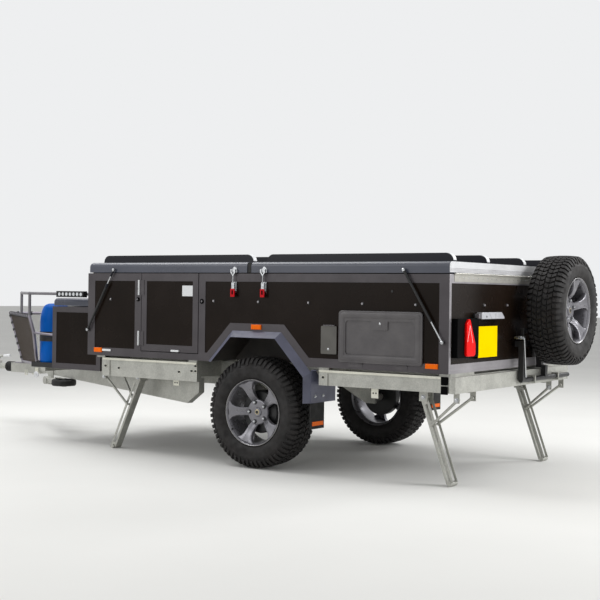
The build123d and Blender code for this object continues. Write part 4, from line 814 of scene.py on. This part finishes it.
def chassis_parts():
    """Lips painted light, bolts, brackets and painted shade at the rear ends of the side rails; bolts of the
    corner legs.
    """
    # Lips in pale zinc: painted light where the top flanges catch the light
    blocks("rail_lips", "trailer", mirrored(LIP_BLOCKS), "zinc_bright", 0.0015)
    shape = Shape()
    for side in BOTH:
        for x, z, y in RAIL_BOLTS:
            disc(shape, at(x, side * y, z), (0, side, 0), ((0, 13), (1.2, 13)), "zinc_bright", 20)
            disc(shape, at(x, side * y, z), (0, side, 0), ((1.2, 9), (7, 9), (8, 7)), "black_metal", 6)
        for x0, x1, z0, z1 in BRACKETS:
            ys = (side * (BRACKET_FACE - 5), side * BRACKET_FACE)
            box_at(shape, (x0, x1), ys, (z0, z1), "zinc_bright")
            for share in (0.3, 0.7):
                place = at(x0 + (x1 - x0) * share, side * BRACKET_FACE, (z0 + z1) / 2)
                disc(shape, place, (0, side, 0), ((0, 6), (0.5, 6)), "black_metal", 16)
    shape.finish("rail_bolts", "trailer")
    shape = Shape()
    for side in BOTH:
        for pivot_x, ear_x in LEGS:
            for face in BOTH:
                for x, reach in ((pivot_x, PIVOT_REACH), (ear_x, EAR_REACH)):
                    place = at(x, side * LEG_Y + face * reach, PIVOT_Z)
                    disc(shape, place, (0, face, 0), ((0, 16), (1.5, 16)), "latch_steel", 20)
                    disc(shape, place, (0, face, 0), ((1.5, 12), (8, 12), (9.5, 9)), "latch_steel", 6)
    shape.finish("leg_bolts", "trailer")
    # Black blocks in the gaps at the rails' rear ends: painted shade
    blocks("rail_end_gap_shade", "trailer", mirrored(GAP_SHADE_BLOCKS), "deep_black", 0.002)


# Spare wheel's carrier: blocks of its clamp and hook, place of the bolt, ends of the tie rod
CLAMP_BLOCKS = (((48, 90), (-34, 24), (925, 950)), ((54, 84), (-80, -34), (932, 946)))
CLAMP_BOLT = (90, -10, 937)
HOOK_BLOCKS = (((58, 78), (20, 34), (913, 1002)), ((58, 78), (34, 88), (988, 1002)),
               ((58, 78), (74, 88), (966, 988)))
TIE_ROD = ((90, 8, 937), (90, 40, 672))
TIE_NUT = (90, 40, 664)


def carrier_parts():
    """Clamp, hook and bright tie rod of the carrier."""
    shape = Shape()
    for xs, ys, zs in CLAMP_BLOCKS:
        box_at(shape, xs, ys, zs, "latch_steel")
    bolt(shape, at(*CLAMP_BOLT), (1, 0, 0), 7)
    shape.finish("carrier_clamp", "carrier", 0.0015)
    blocks("carrier_hook", "carrier", HOOK_BLOCKS, "black_metal", 0.0015)
    shape = Shape()
    bar(shape, *TIE_ROD, 5, "chrome_rod")
    disc(shape, at(*TIE_NUT), (0, 0, 1), ((0, 8), (16, 8)), "chrome_rod", 16)
    shape.finish("carrier_tie_rod", "carrier")


# Gas struts: end, lid pin and body pin as (x, z), and how far from the rod's pin the tube starts
STRUTS = (("front", (-2826, 1379), (-3092, 920)), ("rear", (-318, 1379), (-38, 925)))
STRUT_Y = 958
STRUT_MOUTH = 150
SOCKET = ((0, 8), (2, 11), (16, 11), (19, 7))
# Collars of the front struts: from and to along the strut from its lid pin, radius, end they go with
COLLARS = ((10, 56, 7.5, "high"), (120, 156, 9.6, "low"))


def on_strut(pin, other, distance, side):
    """Place on a gas strut's axis at a distance from one pin towards the other."""
    (x0, z0), (x1, z1) = pin, other
    length = ((x1 - x0) ** 2 + (z1 - z0) ** 2) ** 0.5
    return x0 + (x1 - x0) * distance / length, side * STRUT_Y, z0 + (z1 - z0) * distance / length


def strut_parts():
    """Sockets and tubes of the gas struts, with the collars of the front ones."""
    for end, high, low in STRUTS:
        for place, level in ((high, "high"), (low, "low")):
            shape = Shape()
            for side in BOTH:
                pin = at(place[0], side * (STRUT_Y - 9), place[1])
                disc(shape, pin, (0, side, 0), SOCKET, "latch_steel", 20)
            shape.finish(f"{end}_strut_sockets_{level}", f"{end}_struts_{level}")
    high, low = STRUTS[0][1:]
    for start, stop, radius, level in COLLARS:
        shape = Shape()
        for side in BOTH:
            ends = [on_strut(high, low, distance, side) for distance in (start, stop)]
            bar(shape, *ends, radius, "rail_black", 24)
        shape.finish(f"front_strut_collars_{level}", f"front_struts_{level}", 0.001)
    for end, high, low in STRUTS:
        tube_pin, rod_pin, level = (low, high, "low") if end == "front" else (high, low, "high")
        shape = Shape()
        for side in BOTH:
            ends = (on_strut(tube_pin, rod_pin, 0, side), on_strut(rod_pin, tube_pin, STRUT_MOUTH, side))
            bar(shape, *ends, 8.8, "black_metal", 24)
        made = shape.finish(f"{end}_strut_sleeves", f"{end}_struts_{level}", 0.001)
        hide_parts(f"{end}_strut_tubes")


# Hatch: two x and two z of its rim, and the bead's section as (in from the rim, out from the side)
HATCH = (-808, -182, 770, 1112)
BEAD = ((10, 10), (16, 15), (20, 16), (40, 16), (46, 14.5), (51, 9))


def hatch_bead():
    """Raised bead round the hatch's sunk field."""
    x0, x1, z0, z1 = HATCH
    rings = []
    for inset, out in BEAD:
        outline = rounded(x0 + inset, x1 - inset, z0 + inset, z1 - inset, max(24 - inset * 0.4, 8))
        rings.append([at(x, -SIDE - out, z) for x, z in outline])
    shape = Shape()
    shape.loop(rings, "hatch_grey")
    shape.finish("hatch_bead", "hatch")


def rounded(x0, x1, z0, z1, radius, steps=6):
    """Corners of a rectangle with rounded corners, in order."""
    points = []
    for cx, cz, start in ((x1 - radius, z1 - radius, 0), (x0 + radius, z1 - radius, 0.5),
                          (x0 + radius, z0 + radius, 1.0), (x1 - radius, z0 + radius, 1.5)):
        for i in range(steps + 1):
            turn = (start + 0.5 * i / steps) * pi
            points.append((cx + radius * cos(turn), cz + radius * sin(turn)))
    return points


# Gas bottle: x and y of its axis, z of its foot and of its strap, and their outlines as (height, radius)
BOTTLE = (-3797, -607)
BOTTLE_Z = 593
STRAP_Z = 800
BOTTLE_OUTLINE = ((0, 104), (4, 110), (20, 112), (34, 124), (48, 128), (366, 128), (400, 126),
                  (430, 121), (458, 114), (480, 106), (497, 95), (508, 80), (515, 60), (517, 30))
STRAP_OUTLINE = ((0, 129), (1, 131.5), (36, 131.5), (37, 129))


def gas_bottle():
    """Moulded bottle with a foot, a high rounded shoulder and a strap."""
    shape = Shape()
    disc(shape, at(*BOTTLE, BOTTLE_Z), (0, 0, 1), BOTTLE_OUTLINE, "bottle_blue", 64)
    made = shape.finish("gas_bottle_shell", "trailer")
    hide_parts("gas_bottle")
    shape = Shape()
    disc(shape, at(*BOTTLE, STRAP_Z), (0, 0, 1), STRAP_OUTLINE, "black_plastic", 64)
    shape.finish("bottle_strap", "trailer")


# Rails on the lids: their y and half width, x of their rear ends, and the ends' rounding: how far its
# centre lies from the end, the centre's z, and the inner and outer radius of the painted highlights on it
RAIL_Y = (-790, -300, 300, 790)
RAIL_HALF = 19.6
RAIL_ENDS = (("front_lid", -1616.5), ("rear_lid", -40))
RAIL_ROUND = 52
RAIL_ROUND_Z = 1440
HIGHLIGHT_RADII = (50, 52.9)


def rail_end_highlights():
    """White bands of painted highlight over the rounded rear ends of the lids' rails."""
    turns = [0.1 + 1.47 * i / 10 for i in range(11)]
    for lid, end_x in RAIL_ENDS:
        inner, outer = [[(end_x - RAIL_ROUND + radius * cos(turn), RAIL_ROUND_Z + radius * sin(turn))
                         for turn in turns] for radius in HIGHLIGHT_RADII]
        shape = Shape()
        for y in RAIL_Y:
            plate(shape, inner + outer[::-1], y - RAIL_HALF, y + RAIL_HALF, "label_white")
        shape.finish(f"{lid}_rail_painted_highlights", lid)


# Wheels, in mm from the wheel's middle plane and axis. Sections of the barrel, hub, lip and brake drum as
# (distance out, radius), and the spokes' stations as (radius, half width, face, back)
BARREL = ((114, 231.3), (115.4, 230), (115.6, 227.5), (113, 224.5), (107, 222), (97, 214), (74, 209),
          (-70, 209), (-98, 214), (-109, 224), (-113, 231.3), (-104, 231.3), (-96, 216.5), (98, 216.5),
          (104, 226), (107, 231.3))
HUB = ((22, 80), (30, 88), (43, 88), (48.5, 84), (49.5, 81), (49.5, 70))
LIP = ((115.2, 231.2), (116.1, 230.4), (116.1, 229.2), (115.2, 228.4))
DRUM = ((-48, 120), (-44, 150), (14, 150), (22, 142), (22, 60))
SPOKES = 5
STATIONS = ((58, 28, 40, 26), (80, 31, 43, 30), (89, 31, 50, 35), (102, 30, 65, 42), (118, 30, 77, 48),
            (140, 31, 88, 54), (166, 36, 96, 60), (190, 46, 101, 66), (207, 60, 104, 70), (218, 76, 106, 74))
# Centre cap and its badge: distance out, outline, finish, sides. Nuts: face, circle, and outlines of the
# seat and the nut. Valve: distance out and radius of its place
CAP_PARTS = ((49, ((0, 33), (4, 33), (7, 30), (8, 20), (7, 18)), "alloy_dark", 40),
             (56, ((0, 19), (1.6, 18.5), (2.4, 15)), "brass", 32),
             (57, ((0, 12), (2.5, 11), (3.5, 6)), "black_plastic", 32))
NUT_FACE = 49.5
NUT_CIRCLE = 69.85
NUT_SEAT = ((0, 15.5), (0.7, 15.3), (0.7, 11))
NUT = ((0, 10), (13, 10), (16, 7.5), (16.5, 3))
VALVE = (104, 212)


def wheel(name, node, body, way, spoke, drum):
    """Five-spoke alloy wheel with its nuts and centre cap, in place of the plain one."""
    on_wheel = about(node, way, spoke)
    shape = Shape()
    shape.loop([[on_wheel(along, radius, turn) for turn in TURNS] for along, radius in BARREL], "alloy_dark")
    disc(shape, on_wheel(0), way, HUB, "alloy_dark", 60)
    for k in range(SPOKES):
        spoke_at(shape, on_wheel, 2 * pi * k / SPOKES)
    made = shape.finish(f"{name}_alloy", body)
    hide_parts(node)
    shape = Shape()
    if drum:
        disc(shape, on_wheel(0), way, DRUM, "black_metal", 48)
    for along, outline, slot, sides in CAP_PARTS:
        disc(shape, on_wheel(along), way, outline, slot, sides)
    for k in range(SPOKES):
        place = on_wheel(NUT_FACE, NUT_CIRCLE, 2 * pi * k / SPOKES)
        disc(shape, place, way, NUT_SEAT, "black_plastic", 24)
        disc(shape, place, way, NUT, "latch_steel", 6)
    rings = [[on_wheel(along, radius, turn) for turn in TURNS] for along, radius in LIP + LIP[:1]]
    shape.hull(rings, "lip_grey", caps=False)
    place = on_wheel(*VALVE, pi / SPOKES)
    disc(shape, place, way, ((0, 4), (16, 4), (17, 2.5)), "black_plastic", 12)
    shape.finish(f"{name}_hub_parts", body)


def spoke_at(shape, on_wheel, turn):
    """One spoke: it rises from the sunk hub to the lip and widens, with bevelled edges."""
    rings = []
    for radius, half, face, back in STATIONS:
        ring = []
        for across, along in ((-half + 3, back), (-half, face - 11), (-half + 3, face - 3), (-half + 9, face),
                              (-half * 0.35, face - 2.2), (half * 0.35, face - 2.2), (half - 9, face),
                              (half - 3, face - 3), (half, face - 11), (half - 3, back)):
            ring.append(on_wheel(along, radius, turn + across / radius))
        rings.append(ring)
    shape.hull(rings, "alloy_dark")


# Stone guard: front tube's foot as (x, z), lean, reach back and out, top, and the wing's corners as
# (share of its length, z)
GUARD_FOOT = (-4850.8, 562)
GUARD_LEAN = 0.40
GUARD_REACH = (1177, 850)
GUARD_TOP = 1003
WING = ((0, 562), (0, GUARD_TOP), (1, GUARD_TOP), (1, 872), (0.75, 600))
WING_LENGTH = 1452.0
# Pitch and half width of the mesh's wires
WIRE_PITCH = 12.0
WIRE_HALF = 1.1


def guard_mesh():
    """Woven wire in both wings, in place of the plain sheets."""
    shape = Shape()
    corners = [(share * WING_LENGTH, z - GUARD_FOOT[1]) for share, z in WING]
    for lean, lift in ((1, -0.8), (-1, 0.8)):
        offsets = [v - lean * u for u, v in corners]
        line = min(offsets) + WIRE_PITCH
        while line < max(offsets):
            ends = wire_ends(corners, lean, line)
            if ends:
                for side in BOTH:
                    wire(shape, ends, side, lift)
            line += WIRE_PITCH * 2 ** 0.5
    made = shape.finish("guard_wire_mesh", "trailer", smooth=False)
    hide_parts("guard_mesh")


def wire_ends(corners, lean, line):
    """Where the line v = lean * u + line crosses the wing's edge."""
    hits = []
    for (u0, v0), (u1, v1) in zip(corners, corners[1:] + corners[:1]):
        a, b = v0 - lean * u0 - line, v1 - lean * u1 - line
        if (a < 0) != (b < 0):
            share = a / (a - b)
            hits.append((u0 + (u1 - u0) * share, v0 + (v1 - v0) * share))
    return hits if len(hits) == 2 and abs(hits[0][0] - hits[1][0]) > 8 else None


def wire(shape, ends, side, lift):
    """One square wire across a wing, a little in front of or behind its plane."""
    rings = []
    for u, v in ends:
        share = u / WING_LENGTH
        x = GUARD_FOOT[0] - v * GUARD_LEAN + share * GUARD_REACH[0]
        y, z = side * share * GUARD_REACH[1], v + GUARD_FOOT[1]
        rings.append([at(x + lift + dx, y + side * (dy + lift), z + dz) for dx, dy, dz in
                      ((-WIRE_HALF, 0, 0), (0, 0, WIRE_HALF), (WIRE_HALF, 0, 0), (0, 0, -WIRE_HALF))])
    shape.hull(rings, "mesh_bronze")


def guard_ties():
    """Black ties round the guard's front and top tubes."""
    shape = Shape()
    top_x = GUARD_FOOT[0] - (GUARD_TOP - GUARD_FOOT[1]) * GUARD_LEAN
    foot, top = at(GUARD_FOOT[0], 0, GUARD_FOOT[1]), at(top_x, 0, GUARD_TOP)
    tubes = [(foot, top, 7)]
    for side in BOTH:
        tubes.append((top, at(top_x + GUARD_REACH[0], side * GUARD_REACH[1], GUARD_TOP), 12))
    for start, end, count in tubes:
        way = (end - start).normalized()
        for i in range(count):
            place = start.lerp(end, (i + 0.6) / count)
            disc(shape, place, way, ((-10, 13.3), (-9, 18), (9, 18), (10, 13.3)), "black_plastic", 16)
    shape.finish("guard_ties", "trailer")


# Shackles under the drawbar's nose: x of their legs, y from the middle, top, foot and radius of the wire
SHACKLE_X = (-4771, -4747)
SHACKLE_Y = 44
SHACKLE_TOP = 492
SHACKLE_FOOT = 446
SHACKLE_WIRE = 4.5


def coupling_parts():
    """Shackles under the drawbar's nose, and the disc of the jockey wheel's clamp."""
    shape = Shape()
    for side in BOTH:
        y = side * SHACKLE_Y
        for x in SHACKLE_X:
            bar(shape, (x, y, SHACKLE_TOP), (x, y, SHACKLE_FOOT), SHACKLE_WIRE, "zinc_bright")
        low, high = SHACKLE_X[0] - 4, SHACKLE_X[1] + 4
        bar(shape, (low, y, SHACKLE_FOOT), (high, y, SHACKLE_FOOT), SHACKLE_WIRE, "zinc_bright")
    shape.finish("shackles", "trailer")
    shape = Shape()
    box_at(shape, (-4590, -4550), (-96, -88), (448, 520), "zinc_bright")
    outline = ((0, 30), (6, 30), (9, 25), (9, 10), (14, 9), (14, 4))
    disc(shape, at(-4570, -96, 458), (0, -1, 0), outline, "trim_silver", 32)
    shape.finish("clamp_disc", "trailer", 0.001)


# Light bar: x from which its lamps stand, their number and pitch, y of its face, z of its middle
LAMP_X = -3478
LAMP_COUNT = 7
LAMP_PITCH = 274 / LAMP_COUNT
LAMP_Y = -898
LAMP_Z = 1190
# Ends of the grip on the coupling's lever
LEVER_GRIP = ((-5108, 0, 600.5), (-5022, 0, 609.5))


def nose_parts():
    """Lamps of the light bar and grip of the coupling's lever."""
    shape = Shape()
    for i in range(LAMP_COUNT):
        place = at(LAMP_X + (i + 0.5) * LAMP_PITCH, LAMP_Y, LAMP_Z)
        disc(shape, place, (0, -1, 0), ((0, 16), (3, 15.5), (5.5, 12), (6.5, 5)), "lamp_glass", 28)
    shape.finish("light_bar_lamps", "trailer")
    shape = Shape()
    bar(shape, *LEVER_GRIP, 12.5, "label_white")
    shape.finish("lever_grip", "trailer", 0.003)


studs()
door_fittings()
locks()
reflectors()
latch_parts()
hinge_trim()
rear_frame_painted_light()
tail_lamp_parts()
chassis_parts()
carrier_parts()
strut_parts()
hatch_bead()
gas_bottle()
rail_end_highlights()
wheel("left", "rim_left", "wheel_left", (0, -1, 0), (-1, 0, 0), True)
wheel("right", "rim_right", "wheel_right", (0, 1, 0), (-1, 0, 0), True)
wheel("spare", "spare_rim", "carrier", (1, 0, 0), (0, 0, 1), False)
guard_mesh()
guard_ties()
coupling_parts()
nose_parts()


# Floor, light and camera
FLOOR_HALF = 60.0


def floor():
    """Plain pale floor."""
    mesh = bmesh.new()
    bmesh.ops.create_grid(mesh, x_segments=1, y_segments=1, size=FLOOR_HALF)
    data = bpy.data.meshes.new("floor")
    mesh.to_mesh(data)
    mesh.free()
    made = Finish("floor", 0.8)
    made.colour(tone(226, 226, 223), tone(231, 231, 228), made.noise(0.6, 3))
    data.materials.append(made.material)
    obj = bpy.data.objects.new("floor", data)
    obj.location.z = -0.001
    bpy.context.scene.collection.objects.link(obj)


def sky():
    """Even world light, and a pale background for the camera, gloss and glass."""
    world = bpy.data.worlds.new("studio")
    world.use_nodes = True
    bpy.context.scene.world = world
    tree = world.node_tree
    tree.nodes.clear()
    out = tree.nodes.new("ShaderNodeOutputWorld")
    mix = tree.nodes.new("ShaderNodeMixShader")
    light = tree.nodes.new("ShaderNodeBackground")
    light.inputs["Color"].default_value = (1.0, 1.0, 1.0, 1.0)
    light.inputs["Strength"].default_value = 0.5
    seen = tree.nodes.new("ShaderNodeBackground")
    seen.inputs["Color"].default_value = tone(238, 239, 240)
    seen.inputs["Strength"].default_value = 1.0
    path = tree.nodes.new("ShaderNodeLightPath")
    total = path.outputs["Is Camera Ray"]
    for ray in ("Is Glossy Ray", "Is Transmission Ray"):
        join = tree.nodes.new("ShaderNodeMath")
        join.operation = "MAXIMUM"
        tree.links.new(total, join.inputs[0])
        tree.links.new(path.outputs[ray], join.inputs[1])
        total = join.outputs[0]
    tree.links.new(total, mix.inputs[0])
    tree.links.new(light.outputs[0], mix.inputs[1])
    tree.links.new(seen.outputs[0], mix.inputs[2])
    tree.links.new(mix.outputs[0], out.inputs["Surface"])


def lamp(name, place, target, size, power):
    """Square soft lamp aimed at a point."""
    data = bpy.data.lights.new(name, "AREA")
    data.shape = "SQUARE"
    data.size = size
    data.energy = power
    obj = bpy.data.objects.new(name, data)
    obj.location = place
    obj.rotation_euler = (Vector(target) - Vector(place)).to_track_quat("-Z", "Y").to_euler()
    bpy.context.scene.collection.objects.link(obj)


# Camera: place in metres, angles in degrees, focal length in picture widths
EYE = Vector((5.837, -7.506, 1.223))
YAW = 34.39
PITCH = -0.34
ROLL = 0.76
FOCAL = 1177 / 600
SENSOR = 36.0


def camera():
    """Camera at the photograph's place."""
    yaw, pitch, roll = radians(YAW), radians(PITCH), radians(ROLL)
    level = Vector((-sin(yaw), cos(yaw), 0))
    right = Vector((cos(yaw), sin(yaw), 0))
    ahead = level * cos(pitch) + Vector((0, 0, sin(pitch)))
    up = Vector((0, 0, cos(pitch))) - level * sin(pitch)
    right_turned = right * cos(roll) + up * sin(roll)
    up_turned = up * cos(roll) - right * sin(roll)
    data = bpy.data.cameras.new("camera")
    data.sensor_width = SENSOR
    data.lens = FOCAL * SENSOR
    obj = bpy.data.objects.new("camera", data)
    turn = Matrix((right_turned, up_turned, -ahead)).transposed()
    obj.matrix_world = Matrix.Translation(EYE) @ turn.to_4x4()
    bpy.context.scene.collection.objects.link(obj)
    bpy.context.scene.camera = obj


floor()
sky()
lamp("above", (-2.5, -0.8, 6.2), (0, 0, 0.8), 4.5, 300)
lamp("side", (-3.5, -7.5, 3.6), (0, 0, 0.8), 3.5, 100)
lamp("rear", (7.5, 1.5, 3.2), (0, 0, 0.9), 3.0, 230)
lamp("far_side", (5.0, 6.5, 5.5), (0, 0, 1.2), 2.5, 200)
camera()
bpy.context.scene.view_settings.view_transform = "Standard"
